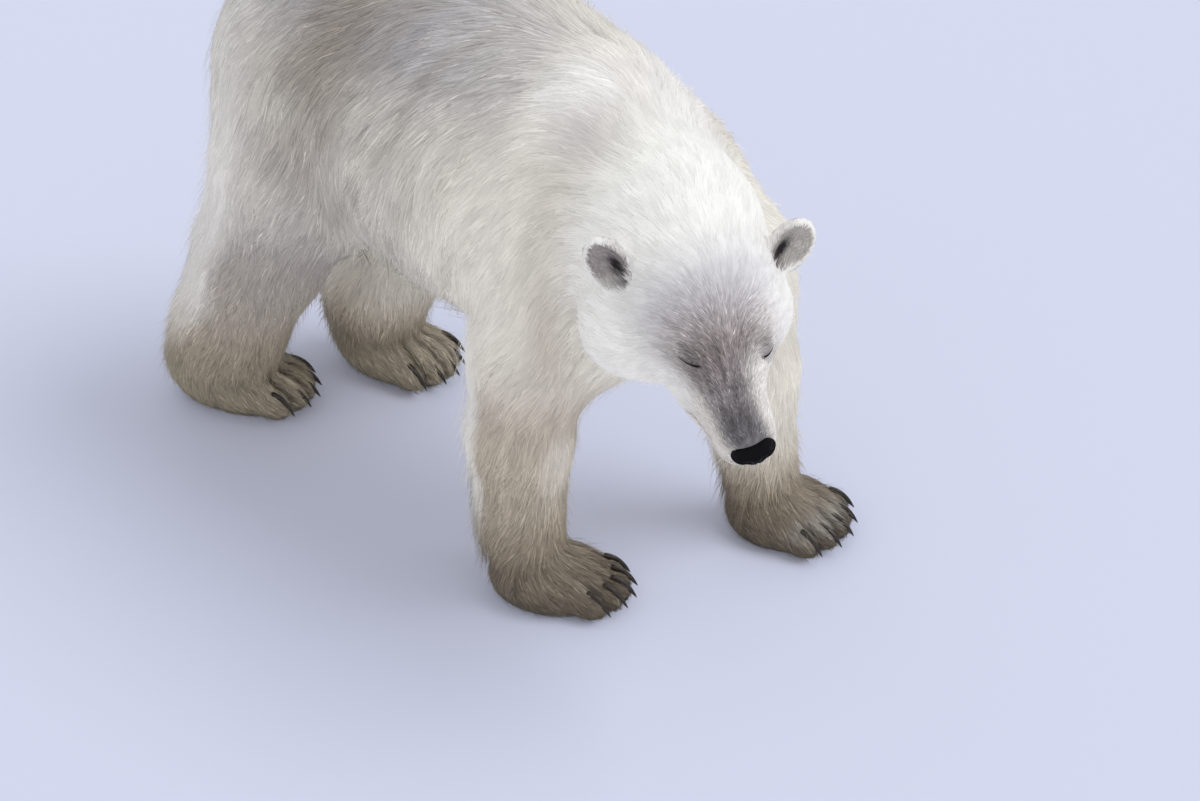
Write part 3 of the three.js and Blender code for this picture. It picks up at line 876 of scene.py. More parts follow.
def trunk_tint(made, points, part):
    """Greys on the back and before the hips, paler behind them and cream on the chest."""
    across, along, z = points.T
    rear = part["back"] + part["thigh"] + part["tail"]
    front = part["back"] + part["shoulder"]
    ridge = smooth(z, 860, 950) * smooth(along, -300, -215) * (1 - smooth(across, -60, 40))
    made = mix(made, SADDLE, 0.9 * ridge * (rear + part["shoulder"]))
    hip = bump(along, 140 + 0.27 * (930 - z), 85) * smooth(z, 420, 560)
    made = mix(made, HAUNCH, hip * (0.5 + 0.32 * smooth(z, 740, 900)) * rear)
    behind = smooth(along, 275, 365) * smooth(z, 370, 480)
    made = mix(made, PALE, 0.75 * behind * (1 - 0.45 * smooth(z, 640, 760)) * rear)
    made = mix(made, CREAM_AND_PAINTED_LIGHT, smooth(-along, 10, 260) * (1 - 0.65 * smooth(z, 790, 930)) * front)
    streaks = smooth(wander(points * (1, 0.6, 0.45), 36, 11), -0.1, 1.0)
    hindmost = 0.4 + 0.6 * smooth(along, -300, 20)
    made = mix(made, STREAK, 0.36 * streaks * hindmost * (rear + 0.5 * front))
    warm = smooth(wander(points * (1, 0.6, 0.5), 90, 12), 0, 0.9) * (1 - smooth(z, 760, 900))
    return mix(made, CREAM_AND_PAINTED_LIGHT, 0.2 * warm * (front + rear))


def leg_tint(made, points, normal, part, legs):
    """Darker down the legs, painted shade on the right hind one's muscles, and white behind them all: long
    pale hair, with painted light where they turn from the lamp; and painted light on the front of the
    right front leg.
    """
    across, along, z = points.T
    hind = smooth(along, 120, 200)
    height = ramp(z, {at: linear(code) for at, code in LEG.items()})
    made = made * (1 - legs[:, None]) + height * legs[:, None]
    uneven = z + 25 * wander(points, 110, 19)
    calf = smooth(uneven, 150, 400) * (1 - smooth(uneven, 500, 760))
    right = 1 - smooth(across, -120, 0)
    # painted shade over the muscles of the right hind leg
    made = mix(made, SHADE, 0.6 * hind * calf * (legs + part["thigh"] + part["back"]) * right)
    # white behind the legs: long pale hair, with painted light where their backs turn from the lamp
    feathers_and_painted_light = (legs + hind * part["thigh"]) * smooth(normal[:, 1] + 0.2 * hind, 0.1, 0.6)
    feathers_and_painted_light *= smooth(uneven, 110, 300) * (0.9 - 0.25 * hind)
    made = mix(made, WHITE_AND_PAINTED_LIGHT, feathers_and_painted_light)
    # painted light on the front of the right front leg
    lit_shins = legs * (1 - hind) * smooth(-normal[:, 1], 0.8, 1) * smooth(z, 190, 300)
    return mix(made, CREAM_AND_PAINTED_LIGHT, 0.5 * lit_shins * (1 - smooth(across, -90, 0)))


def withers_tint(made, points, part):
    """Beige fur with painted shade in the crease before the shoulders, painted light on top of the hump,
    and painted shade in the hollow between it and the neck.
    """
    along, z = points[:, 1], points[:, 2]
    fronts = part["back"] + part["shoulder"] + part["arm"]
    # beige fur, with painted shade in the crease before the shoulders
    made = mix(made, BEIGE_AND_SHADE, 0.85 * bump(along, -402, 52) * smooth(z, 470, 580) * fronts)
    # painted light on top of the withers, where they face the sky
    for at, reach in CREST_LIGHT_SPOTS:
        made = mix(made, CREST_LIGHT, 0.6 * spot(points, at, reach))
    # painted shade in the hollow between the hump and the neck
    return mix(made, HOLLOW_SHADE, spot(points, *HOLLOW_SHADE_SPOT))


def paw_tint(made, points, part, legs):
    """Painted light on the left legs and on the tops of the left front toes, and feet that are darker
    below, with dark fur here and there and painted shade between the toes.
    """
    across, along, z = points.T
    hind, left = smooth(along, 120, 200), smooth(across, -90, 0)
    # painted light on the left legs
    made = mix(made, CREAM_AND_PAINTED_LIGHT, 0.68 * left * legs * smooth(z, 105, 270))
    low = 0.8 * hind * legs * smooth(260 - z, 40, 160)
    made = mix(made, HIND_PAW, low * (1 - 0.5 * left * smooth(z, 60, 160)))
    # painted light on the tops of the left front toes
    tops = 0.5 * left * (1 - hind) * part["paw"] * smooth(z, 34, 58)
    made = mix(made, TOE_TOP_LIGHT, tops * smooth(-along, 520, 570))
    made = mix(made, OLIVE, part["paw"] * 0.6 * smooth(45 - z, 0, 35))
    made = mix(made, DARK_FUR_AND_SHADE, 0.3 * part["paw"] * smooth(wander(points, 24, 14), 0.1, 1.2))
    made = mix(made, DARK_FUR_AND_SHADE, 0.14 * left * (1 - hind) * part["paw"] * (1 - smooth(z, 60, 110)))
    low = z < TOE_TOP
    # painted shade in the furrows between the toes
    made[low] = mix(made[low], DARK_FUR_AND_SHADE, 1.1 * toe_gaps(points[low]))
    return made


def face_tint(made, points, part):
    """The grey mask, mottled along the lie of the hair, with its dark sockets and pale blaze."""
    h = into(HEAD, points)
    x, y, up = h.T
    bony = part["face"] + part["muzzle"] + part["skull"] + 0.9 * part["cheek"]
    grey = ramp(y, {at: linear(stop[0]) for at, stop in MASK.items()})
    middle_of = ramp(y, {at: stop[1] for at, stop in MASK.items()})
    reach = ramp(y, {at: stop[2] for at, stop in MASK.items()})
    ahead = smooth(y, 10, 80)
    over = np.exp(-(((x - middle_of) / reach) ** 4)) * smooth(up, -62 + 16 * ahead, -14 * ahead)
    over *= bony * smooth(y, -230, -190)
    mottle = wander(h * (1, 0.28, 1), 13, 23) + 0.6 * wander(h * (1, 0.4, 1), 30, 24)
    grey *= np.exp((0.1 + 0.26 * smooth(y, -60, 60)) * mottle)[:, None]
    made = made * (1 - over[:, None]) + grey * over[:, None]
    sockets = spot(folded(h), (60, 2, 14), (15, 15, 13))
    sockets += 0.5 * spot(folded(h), (62, 19, -3), (14, 12, 8))
    made = mix(made, SLATE, 0.6 * sockets * bony)
    waver = -27 + 4 * wander(points, 60, 17)
    blaze = bump(x, waver, 8) * smooth(y, 30, 56) * (1 - smooth(y, 130, 148))
    return mix(made, BLAZE, 0.35 * blaze * bony * smooth(up, -20, 0))


def lid_and_lip_tint(made, points, lines):
    """Bare black skin along the lids, widest at the inner corners, and brown along the lips: their skin,
    with painted shade along the line of the mouth.
    """
    for side in (-1, 1):
        slit = gap_to(points, lines[f"slit {side}"])
        inner = np.linalg.norm(points - lines[f"slit {side}"][-5], axis=1)
        made = mix(made, LID_SKIN, bump(slit, 0, 1.9) + bump(inner, 0, 4))
        lips = gap_to(points, lines[f"lips {side}"])
        # brown lip skin, with painted shade along the line of the mouth
        made = mix(made, LIP_SKIN_AND_SHADE, 0.8 * bump(lips, 0, 3.2))
    return made


def ear_tint(made, points, part, share):
    """White ears, grey in the cup and at the edge by the head, and dark at its bottom."""
    for side, at in EARS.items():
        grey = linear(EAR[side]["grey"])
        across, out, up = into(at, points).T
        close_by = np.linalg.norm(points - at[:3, 3], axis=1) < EAR_REACH
        within = cup_forms[side](points) - 1 - mixed(share, "depth")
        hollow = smooth(part["ear"], 0.2, 0.5) * (1 - smooth(within, 0.3, 3))
        hollow *= close_by
        edge = part["ear"] * close_by
        made = mix(made, WHITE_AND_PAINTED_LIGHT, edge)
        head_side = smooth(-across * side, 8, 26) * smooth(out, -14, 0)
        made = mix(made, grey, 0.55 * edge * head_side)
        hollow *= 1 - smooth(np.abs(across * side + 6) - 0.8 * (up + 46), 2, 22)
        made = mix(made, grey, hollow)
        dark = bump(across * side, -10, 11) * bump(up, -17, 27)
        made = mix(made, INNER_EAR, 1.3 * hollow * dark)
    return made


def tint(points, normal, share, lines):
    """The coat's colour at each point of the skin."""
    part = by_name(share)
    legs = part["arm"] + part["shank"] + part["paw"]
    legs += part["shoulder"] * smooth(620 - points[:, 2], 0, 140)
    made = share @ np.array([linear(COAT[name]) for name in NAMES])
    made = trunk_tint(made, points, part)
    made = leg_tint(made, points, normal, part, legs)
    made = withers_tint(made, points, part)
    made = paw_tint(made, points, part, legs)
    made = face_tint(made, points, part)
    made = lid_and_lip_tint(made, points, lines)
    return ear_tint(made, points, part, share)


# ------------------------------------------------------------------ tufts
# A tuft has five corners: its root, the two sides and the ridge of its knee, and its tip.
TUFT_FACES = np.array(((0, 1, 2), (0, 2, 3), (0, 3, 1), (4, 2, 1), (4, 1, 3), (4, 3, 2)))
KNEE = 0.42  # how far along a tuft its knee is
ROUNDNESS = 0.35  # how much a strand is lit as a blade of its own
ROOT_TO_TIP_SHADE = np.array((0.76, 0.95, 0.95, 1.0, 1.04))  # its painted shade at each corner: deepest at the root, with a little painted light at the tip
LOWEST = 0.6 + 0.4 * np.arange(5) / 5  # and the height in mm that each keeps over the floor
# each tuft takes one patch of its piece's flat sheet, and the corners have these places on it
PATCH = 0.003
PATCH_SPOTS = np.array(((0.5, 0.0), (0.0, 0.45), (1.0, 0.45), (0.5, 0.5), (0.5, 1.0)))
STRAYS = 0.08  # of all tufts
STAND_OFF = 34.0  # no strand's tip stands further from the coat's outline than this


def sow(skin, close):
    """Places for tufts: the skin's triangle that each stands on, and its corners' weights."""
    mesh = skin.data
    mesh.calc_loop_triangles()
    corners = np.empty(len(mesh.loop_triangles) * 3, np.int32)
    mesh.loop_triangles.foreach_get("vertices", corners)
    corners = corners.reshape(-1, 3)
    cm = coords(mesh)[corners] * 100
    area = np.linalg.norm(np.cross(cm[:, 1] - cm[:, 0], cm[:, 2] - cm[:, 0]), axis=1) / 2
    wanted = area * close[corners].mean(axis=1)
    total = int(wanted.sum())
    steps = (np.arange(total) + rng.uniform(0, 1, total)) / total * wanted.sum()
    face = np.searchsorted(np.cumsum(wanted), steps).clip(0, len(wanted) - 1)
    a, b = rng.uniform(0, 1, (2, total))
    fold = a + b > 1
    a[fold], b[fold] = 1 - a[fold], 1 - b[fold]
    weights = np.stack((1 - a - b, a, b), axis=1)
    return corners[face], weights


def spread(values, corners, weights):
    """What the skin's vertices hold, at the places of the tufts."""
    return np.einsum("nk,nkj->nj", weights, values[corners])


def mesh_of(name, points, faces, material):
    """An object with a mesh made from arrays of corners and triangles."""
    mesh = bpy.data.meshes.new(name)
    mesh.vertices.add(len(points))
    mesh.loops.add(faces.size)
    mesh.polygons.add(len(faces))
    mesh.vertices.foreach_set("co", points.astype(np.float32).ravel())
    mesh.loops.foreach_set("vertex_index", faces.astype(np.int32).ravel())
    mesh.polygons.foreach_set("loop_start", np.arange(0, faces.size, 3, dtype=np.int32))
    mesh.update(calc_edges=True)
    mesh.shade_smooth()
    mesh.materials.append(material)
    return add_object(name, mesh)


def paint(mesh, colours):
    """Gives each vertex its colour of the coat."""
    layer = mesh.color_attributes.new("coat_tint", "FLOAT_COLOR", "POINT")
    full = np.ones((len(colours), 4), np.float32)
    full[:, :3] = colours
    layer.data.foreach_set("color", full.ravel())


def lay(points, root, normal, height, hair):
    """Lifts or lowers points so that they lie at a height over the skin, whatever its curve."""
    over = flesh(points) + hair["depth"] - raised(points, hair["lines"])
    reach = 0.8 * np.linalg.norm(points - root, axis=1)
    return points + normal * np.clip(height - over, -reach, reach)[:, None]


def tuft_mesh(name, hair, material):
    """One piece of the coat: closed, bent, six-sided tufts."""
    points = hair["points"].copy()
    points[:, :, 2] = np.maximum(points[:, :, 2], LOWEST)
    firsts = len(LOWEST) * np.arange(len(points))
    faces = (TUFT_FACES[None] + firsts[:, None, None]).reshape(-1, 3)
    made = mesh_of(name, to_part(points.reshape(-1, 3)), faces, material)
    # painted shade deep among the roots, with a little painted light at the tips
    colours = hair["tint"][:, None] * ROOT_TO_TIP_SHADE[None, :, None] * hair["glow"][:, None, None]
    paint(made.data, np.clip(colours, 0, WHITEST).reshape(-1, 3))
    made.data.normals_split_custom_set_from_vertices(hair["faces_to"].reshape(-1, 3))
    layer = made.data.uv_layers.new(name="OFBake")
    spots = hair["uv"][:, None] + (PATCH_SPOTS - 0.5)[None] * PATCH
    layer.data.foreach_set("uv", spots.reshape(-1, 2)[faces.ravel()].astype(np.float32).ravel())
    return made


def shape_tufts(hair):
    """The corners of each tuft, and the ways that they face for the light."""
    root, normal, lie = hair["root"], hair["normal"], hair["lie"]
    long, wide, lift = (hair[key][:, None] for key in ("long", "wide", "lift"))
    side = np.cross(normal, lie)
    rise = long * np.sin(lift)
    knee = root + lie * np.cos(lift) * long * KNEE + hair["pull"] * 0.3
    tip = root + lie * np.cos(lift) * long + hair["pull"]
    if hair["lines"]:
        knee = lay(knee, root, normal, 0.62 * rise[:, 0], hair)
        tip = lay(tip, root, normal, rise[:, 0], hair)
    else:
        knee, tip = knee + normal * 0.5 * rise, tip + normal * rise
    corners = (
        root - normal * 0.15 * rise, knee + side * wide / 2, knee - side * wide / 2,
        knee + normal * wide * 0.2, tip,
    )
    hair["points"] = np.stack(corners, axis=1)
    # a strand is lit as the coat round it is, and only a little as a blade of its own
    faces_to = np.repeat(normal[:, None], len(corners), axis=1)
    faces_to[:, 1] += ROUNDNESS * side
    faces_to[:, 2] -= ROUNDNESS * side
    faces_to[:, 4] += ROUNDNESS * lie
    hair["faces_to"] = unit(faces_to)


# ------------------------------------------------------------------ the pieces of the coat
def unwrap(points, base, axis, reach):
    """A place on a flat sheet for each root: its angle round an axis, and its way along it.
    Over the ends, where the skin turns across the axis, the way carries on inwards."""
    own = points - np.array(base, float)
    along = own @ np.array(axis, float)
    off = own - along[:, None] * np.array(axis, float)
    first = unit(np.cross(axis, (0.3, 0.5, 0.8)))
    second = np.cross(axis, first)
    angle = np.arctan2(off @ second, off @ first) / (2 * math.pi) + 0.5
    way = along + (reach - np.linalg.norm(off, axis=1)) * np.sign(along)
    way = (way - way.min()) / max(np.ptp(way), 1e-6)
    return np.clip(np.stack((angle, way), axis=1), PATCH, 1 - PATCH)


def coat_regions(points, share):
    """Which piece of the coat each root belongs to, with the axis that it is unwrapped about."""
    across = into(HEAD, points)[:, 0]
    main = share.argmax(axis=1)
    x, y = points[:, 0], points[:, 1]
    is_part = {name: main == k for k, name in enumerate(NAMES)}
    forward = HEAD[:3, 1]
    head_base = out_of(HEAD, np.array((0.0, -20.0, -40.0)))
    head = is_part["face"] | is_part["skull"] | is_part["cheek"]
    flanks = is_part["back"] | is_part["thigh"] | is_part["shoulder"] | is_part["tail"]
    stretches = {"chest": y < -130, "barrel": (y >= -130) & (y < 130), "rump": y >= 130}
    found = {}
    for side, word in ((-1, "right"), (1, "left")):
        half = (across > 0) == (side < 0)
        found[f"coat_muzzle_{word}"] = (is_part["muzzle"] & half, head_base, forward, 60)
        found[f"coat_head_{word}"] = (head & half, head_base, forward, 130)
        at = EARS[-side]
        ear = is_part["ear"] & (np.linalg.norm(points - at[:3, 3], axis=1) < 120)
        found[f"coat_ear_{word}"] = (ear, at[:3, 3] - 40 * at[:3, 2], at[:3, 2], 30)
        flank = flanks & ((x - FORE_X / 2 > 0) == (side > 0))
        for piece, inside in stretches.items():
            found[f"coat_{piece}_{word}"] = (flank & inside, (-15, 0, 700), (0, 1, 0), 260)
    found["coat_neck"] = (is_part["neck"], (-125, -480, 760), unit(np.array((-0.4, -0.9, 0.0))), 150)
    gaps = {}
    for name, leg in LEGS.items():
        (x0, y0), top = leg["paw"], leg["joints"][1]
        gaps[name] = np.hypot(x - (x0 + top[0]) / 2, y - (y0 + top[1]) / 2)
    nearest = np.min(list(gaps.values()), axis=0)
    for name, gap in gaps.items():
        mine = gap == nearest
        x0, y0 = LEGS[name]["paw"]
        above = mine & (is_part["arm"] | is_part["shank"])
        found[f"coat_{name}_leg"] = (above, (x0, y0, 200), (0, 0, 1), 90)
        found[f"coat_{name}_paw"] = (mine & is_part["paw"], (x0, y0, 60), (0, 0, 1), 90)
    return found


def closeness(points, share, lines):
    """How many tufts stand on a square centimetre, with none on the nose and the lids' edges."""
    close = mixed(share, "close")
    bare = np.linalg.norm(into(HEAD, points) - np.array((0, 172, -24)), axis=1) < 24
    bare |= from_slits(points, lines) < 2.6
    close[bare] = 0
    close *= smooth(points[:, 2], SOLE + 1, SOLE + 7) * 0.85 + 0.15
    return close


def cut(root, normal, lie, share, lids):
    """Each tuft's sizes, whether it strays, and how far the skin bends away under it."""
    n = len(root)
    part = by_name(share)
    long = mixed(share, "long") * rng.uniform(0.62, 1.25, n)
    wide = mixed(share, "wide") * rng.uniform(0.6, 1.25, n)
    lift = np.radians(mixed(share, "lift") * rng.uniform(0.6, 1.35, n))
    # feathering: longer, looser hair behind the legs and along the belly
    legs = part["arm"] + part["shank"]
    trunk_share = part["back"] + part["thigh"]
    loose = legs * smooth(normal[:, 1], 0.25, 0.8) + 0.3 * trunk_share * smooth(-normal[:, 2], 0.1, 0.6)
    long *= 1 + 0.9 * loose
    lift *= 1 + 0.8 * loose
    # strays: longer, thinner and further lifted, but hardly any on the head and the neck
    kempt = sum(part[name] for name in ("muzzle", "face", "ear", "neck", "skull"))
    stray = (rng.random(n) < STRAYS) * np.clip(1 - kempt, 0, 1)
    lift *= 1 + 1.5 * stray
    long *= 1 + 0.15 * stray
    wide *= 1 - 0.5 * stray
    heel = part["paw"] * smooth(root[:, 2], 40, 90)
    long *= 1 + 0.7 * heel
    # shorter where the body turns away under a strand, as in the groins and armpits
    bend = np.abs(flesh(root + lie * long[:, None]) + mixed(share, "depth"))
    long *= np.clip(16 / np.maximum(bend, 1), 0.4, 1)
    long *= 0.35 + 0.65 * smooth(lids, 3, 22)
    return {"long": long, "wide": wide, "lift": lift}, stray, bend


def gather(root, normal, lie, share):
    """Locks: each tuft leans to the middle line of the lock whose heart is the nearest."""
    n = len(root)
    lock = mixed(share, "lock")
    hearts = rng.random(n) < np.clip(100 / (mixed(share, "close") * lock**2), 0.005, 0.5)
    heart_of = np.flatnonzero(hearts)
    tree = kdtree.KDTree(len(heart_of))
    for index, heart in enumerate(root[hearts]):
        tree.insert(heart, index)
    tree.balance()
    nearest = heart_of[np.array([tree.find(place)[1] for place in root])]
    turn = rng.normal(0, 0.10, n)[nearest] + rng.normal(0, 0.07, n)
    lie = unit(lie + np.cross(normal, lie) * turn[:, None])
    pull = flattened(flattened(root[nearest] - root, normal), lie)
    reach = np.linalg.norm(pull, axis=1)
    pull *= (np.minimum(reach, lock) / np.maximum(reach, 1e-6))[:, None]
    return nearest, lie, pull


def make_coat(skin, points, lines, material):
    """Tufts sown all over the skin, cut, gathered in locks and parted into pieces."""
    share = shares(points)
    normal, _ = slope(flesh, points, 2.0)
    lie = lie_of(points, normal, share)
    colour = tint(points, normal, share, lines)
    paint(skin.data, colour * WHITEST)
    corners, weights = sow(skin, closeness(points, share, lines))
    root, share, colour = (spread(v, corners, weights) for v in (points, share, colour))
    normal, lie = (unit(spread(v, corners, weights)) for v in (normal, lie))
    lie = unit(flattened(lie, normal))
    lids = from_slits(root, lines)
    sizes, stray, bend = cut(root, normal, lie, share, lids)
    nearest, lie, pull = gather(root, normal, lie, share)
    # salt and pepper shows among dark hairs, and hardly at all among white ones
    vary = mixed(share, "vary") * np.clip(1.15 - colour.mean(axis=1), 0.3, 1)
    n = len(root)
    pull = pull * rng.uniform(0.12, 0.5, n)[:, None]
    glow = np.exp(vary * rng.normal(0, 1, n)) * rng.uniform(0.88, 1.07, n)[nearest]
    hair = {
        "root": root, "normal": normal, "lie": lie, "pull": pull, "tint": colour,
        "glow": np.maximum(glow, stray), "depth": mixed(share, "depth"), "lines": lines, **sizes,
    }
    shape_tufts(hair)
    del hair["lines"]
    free = (flesh(hair["points"][:, -1]) < STAND_OFF) & (bend < STAND_OFF)
    by_lids = lids < 40
    for corner in (3, 4):
        free[by_lids] &= from_slits(hair["points"][by_lids, corner], lines) > 3.0
    for name, (mask, base, axis, reach) in coat_regions(root, share).items():
        chosen = np.flatnonzero(mask & free)
        free[chosen] = False
        own = {key: value[chosen] for key, value in hair.items()}
        own["uv"] = unwrap(root[chosen], base, axis, reach)
        made = tuft_mesh(name, own, material)
        # light passes through pale hair, so tufts don't shade each other
        made.visible_shadow = made.visible_diffuse = False
        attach(made, "root")


# ------------------------------------------------------------------ nose, eyes and claws
NOSE = {"at": (0, 171, -27), "r": (36.5, 20, 11), "roll": 18.0}


def link(name, made, material, nodes):
    """A finished bmesh, in mm in the bear's frame, as a piece with its faces turned outwards."""
    put(made, to_part(places_of(made)))
    bmesh.ops.recalc_face_normals(made, faces=made.faces)
    if made.calc_volume(signed=True) < 0:
        bmesh.ops.reverse_faces(made, faces=made.faces)
    mesh = mesh_from(made, name)
    mesh.shade_smooth()
    mesh.materials.append(material)
    piece = add_object(name, mesh)
    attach(piece, "root")
    if nodes:
        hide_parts(*nodes)


def column(segments, rings):
    """A closed round column of radius 1, with a ring of vertices at each unit of its height."""
    made = bmesh.new()
    bmesh.ops.create_circle(made, cap_ends=True, segments=segments, radius=1)
    face = made.faces[:]
    for ring in range(rings):
        grown = bmesh.ops.extrude_face_region(made, geom=face)
        if ring > 0:
            bmesh.ops.delete(made, geom=face, context="FACES_ONLY")
        tops = [g for g in grown["geom"] if isinstance(g, bmesh.types.BMVert)]
        face = [g for g in grown["geom"] if isinstance(g, bmesh.types.BMFace)]
        bmesh.ops.translate(made, verts=tops, vec=(0, 0, 1))
    return made


def make_nose(leather):
    """The nose pad: a wide, blunt wedge with a cleft, two nostrils and slits to the sides."""
    made = bmesh.new()
    bmesh.ops.create_icosphere(made, subdivisions=5, radius=1)
    p = places_of(made)
    x, y, z = p.T
    # flat above, with a wing at each upper corner swept back and up, and narrow and deep below
    tall = np.sign(z) * np.abs(z) ** np.where(z > 0, 0.7, 0.95)
    q = np.stack((np.sign(x) * np.abs(x) ** 0.9, y, tall), axis=1) * np.array(NOSE["r"], float)
    q[:, 0] *= 1 - 0.25 * smooth(-z, 0, 1)
    q[:, 1] -= 4 * x * x
    q[:, 2] += 1.2 * x * x
    q[:, 2] -= 2.5 * (1 - x * x) * smooth(-z, -0.2, 0.6)
    wide, up = np.abs(q[:, 0]), q[:, 2]
    nostrils = 7.5 * np.exp(-(((wide - 13.5) / 5.2) ** 2) - ((up + 1) / 4.6) ** 2)
    slits = 4.6 * bump(up, -1 + 0.30 * (wide - 13), 2.0) * smooth(wide, 14, 20)
    cleft = 2.6 * bump(q[:, 0], 0, 1.7) * smooth(-z, -0.35, 0.2)
    wings = 1.8 * np.exp(-(((wide - 24) / 7) ** 2) - ((up - 5) / 6) ** 2)
    front = smooth(y, 0.0, 0.45)
    sunk = (nostrils + cleft) * front + slits * smooth(y, -0.2, 0.3) - wings * front
    q -= unit(p) * sunk[:, None]
    roll = Matrix.Rotation(math.radians(NOSE["roll"]), 3, "Y")
    put(made, out_of(HEAD, q @ np.array(roll).T + np.array(NOSE["at"])))
    link("nose_pad", made, leather, ["nose"])


LID_HEIGHT = 1.6


def make_lid_rims(lines, leather):
    """The bare black edge of each closed eye's lids: a thin cord, thickest at the inner corner."""
    for side, word in ((1, "right"), (-1, "left")):
        line = lines[f"slit {side}"]
        way, _ = slope(flesh, line)
        rings = len(line) - 1
        made = column(10, rings)
        p = places_of(made)
        k = np.rint(p[:, 2]).astype(int)
        t = k / rings
        along = unit(np.gradient(line, axis=0))[k]
        out = unit(flattened(way[k], along))
        r = 0.5 + 1.1 * smooth(t, 0.1, 0.95)
        r *= np.clip(np.minimum(t * 6 + 0.3, (1 - t) * 12 + 0.45), 0, 1)
        place = line[k] + out * (p[:, 0] * r * 0.8 + LID_HEIGHT)[:, None]
        put(made, place + np.cross(along, out) * (p[:, 1] * r)[:, None])
        link(f"lid_rim_{word}", made, leather, [])


def make_eyes(wet):
    """A ball behind the closed lids of each eye."""
    for side, word in ((1, "right"), (-1, "left")):
        made = bmesh.new()
        bmesh.ops.create_uvsphere(made, u_segments=32, v_segments=20, radius=EYE_R)
        at = out_of(HEAD, np.array((side * EYE[0], *EYE[1:])))
        bmesh.ops.translate(made, verts=made.verts, vec=at)
        link(f"eye_ball_{word}", made, wet, [f"eye_{word}"])


CLAW = {"length": 44, "r": 6.8, "root": 34, "z": 53, "droop": 33}
CLAW_RINGS = 10


def make_claws(horn):
    """Each claw is a tapered, arched blade of horn: rings from a cylinder, set along its arc."""
    for name, leg in LEGS.items():
        for i in TOES:
            made = column(12, CLAW_RINGS)
            x, y, t = places_of(made).T
            t = t / CLAW_RINGS
            r = CLAW["r"] * (1 - 0.25 * t - 0.65 * t**4)
            place = np.stack((
                x * r * 0.72,
                CLAW["length"] * t - CLAW["root"] + y * r * 0.75 * t,
                CLAW["z"] - CLAW["droop"] * t * t + y * r,
            ), axis=1)
            put(made, out_of(toe_frame(leg, i), place))
            link(f"{name}_horn_{i + 3}", made, horn, [f"{name}_claw_{i + 3}"])


def make_whiskers(material):
    """Short stiff hairs beside the nose, on the lips and on the chin."""
    own = np.random.default_rng(21)
    places, ways, lengths = [], [], []
    for side in (-1, 1):
        for row in range(4):
            for k in range(7):
                places.append((side * (22 + 4 * row), 150 - 11 * k, -50 - 6 * row + 3 * (k % 2)))
                ways.append(np.array((side * 0.9, 0.55, -0.75)) + own.normal(0, 0.12, 3))
                lengths.append(own.uniform(14, 26))
    for _ in range(26):
        x = own.uniform(-26, 26)
        places.append((x, 156, -62))
        ways.append(np.array((x / 60, 0.9, -0.7)) + own.normal(0, 0.12, 3))
        lengths.append(own.uniform(8, 15))
    root = settle(out_of(HEAD, np.array(places, float)), 4)
    normal, _ = slope(flesh, root)
    way = unit(np.array(ways)) @ HEAD[:3, :3].T
    way = unit(way - normal * np.minimum(dot(way, normal), 0)[:, None])
    n = len(root)
    hair = {
        "root": root, "normal": normal, "lie": unit(flattened(way, normal)),
        "lift": np.arcsin(np.clip(dot(way, normal), 0.1, 0.95)), "long": np.array(lengths),
        "wide": np.full(n, 0.55), "pull": np.zeros((n, 3)), "glow": np.ones(n),
        "tint": np.tile(linear("#EDEAE6"), (n, 1)), "uv": unwrap(root, (0, 0, 0), (0, 0, 1), 60),
        "lines": None,
    }
    shape_tufts(hair)
    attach(tuft_mesh("whiskers", hair, material), "root")


# ------------------------------------------------------------------ finishes
def add(tree, kind, links=(), **settings):
    """Adds a node, sets its inputs and properties, and links what feeds it."""
    node = tree.nodes.new(kind)
    for key, value in settings.items():
        if key in node.inputs:
            node.inputs[key].default_value = value
        else:
            setattr(node, key, value)
    for socket, source in links:
        tree.links.new(source, node.inputs[socket])
    return node


def per(count, length):
    """A pattern's scale, from how many of its grains lie on a length in mm."""
    return count / (length * MM)


def new_material(name):
    """A material with its node tree and its shader."""
    material = bpy.data.materials.new(name)
    material.use_nodes = True
    tree = material.node_tree
    shader = tree.nodes["Principled BSDF"]
    return material, tree, shader


def fur_finish():
    """Guard hair: hollow, clear strands that scatter light, so they look pale, soft and dry."""
    material, tree, shader = new_material("guard_hair")
    shader.inputs["Roughness"].default_value = 0.62
    shader.inputs["Specular IOR Level"].default_value = 0.28
    shader.inputs["IOR"].default_value = 1.54
    tinted = add(tree, "ShaderNodeAttribute", attribute_name="coat_tint")
    tree.links.new(tinted.outputs["Color"], shader.inputs["Base Color"])
    return material


def skin_finish():
    """Underfur: the same colours, dense and matt, with a nap about 2 mm apart."""
    material, tree, shader = new_material("underfur")
    shader.inputs["Roughness"].default_value = 0.9
    shader.inputs["Specular IOR Level"].default_value = 0.1
    tinted = add(tree, "ShaderNodeAttribute", attribute_name="coat_tint")
    tree.links.new(tinted.outputs["Color"], shader.inputs["Base Color"])
    place = add(tree, "ShaderNodeTexCoord")
    nap = add(
        tree, "ShaderNodeTexNoise", [("Vector", place.outputs["Object"])], Scale=per(12, 25), Detail=2
    )
    rough = add(
        tree, "ShaderNodeBump", [("Height", nap.outputs["Fac"])], Strength=0.5, Distance=1.0 * MM
    )
    tree.links.new(rough.outputs["Normal"], shader.inputs["Normal"])
    return material


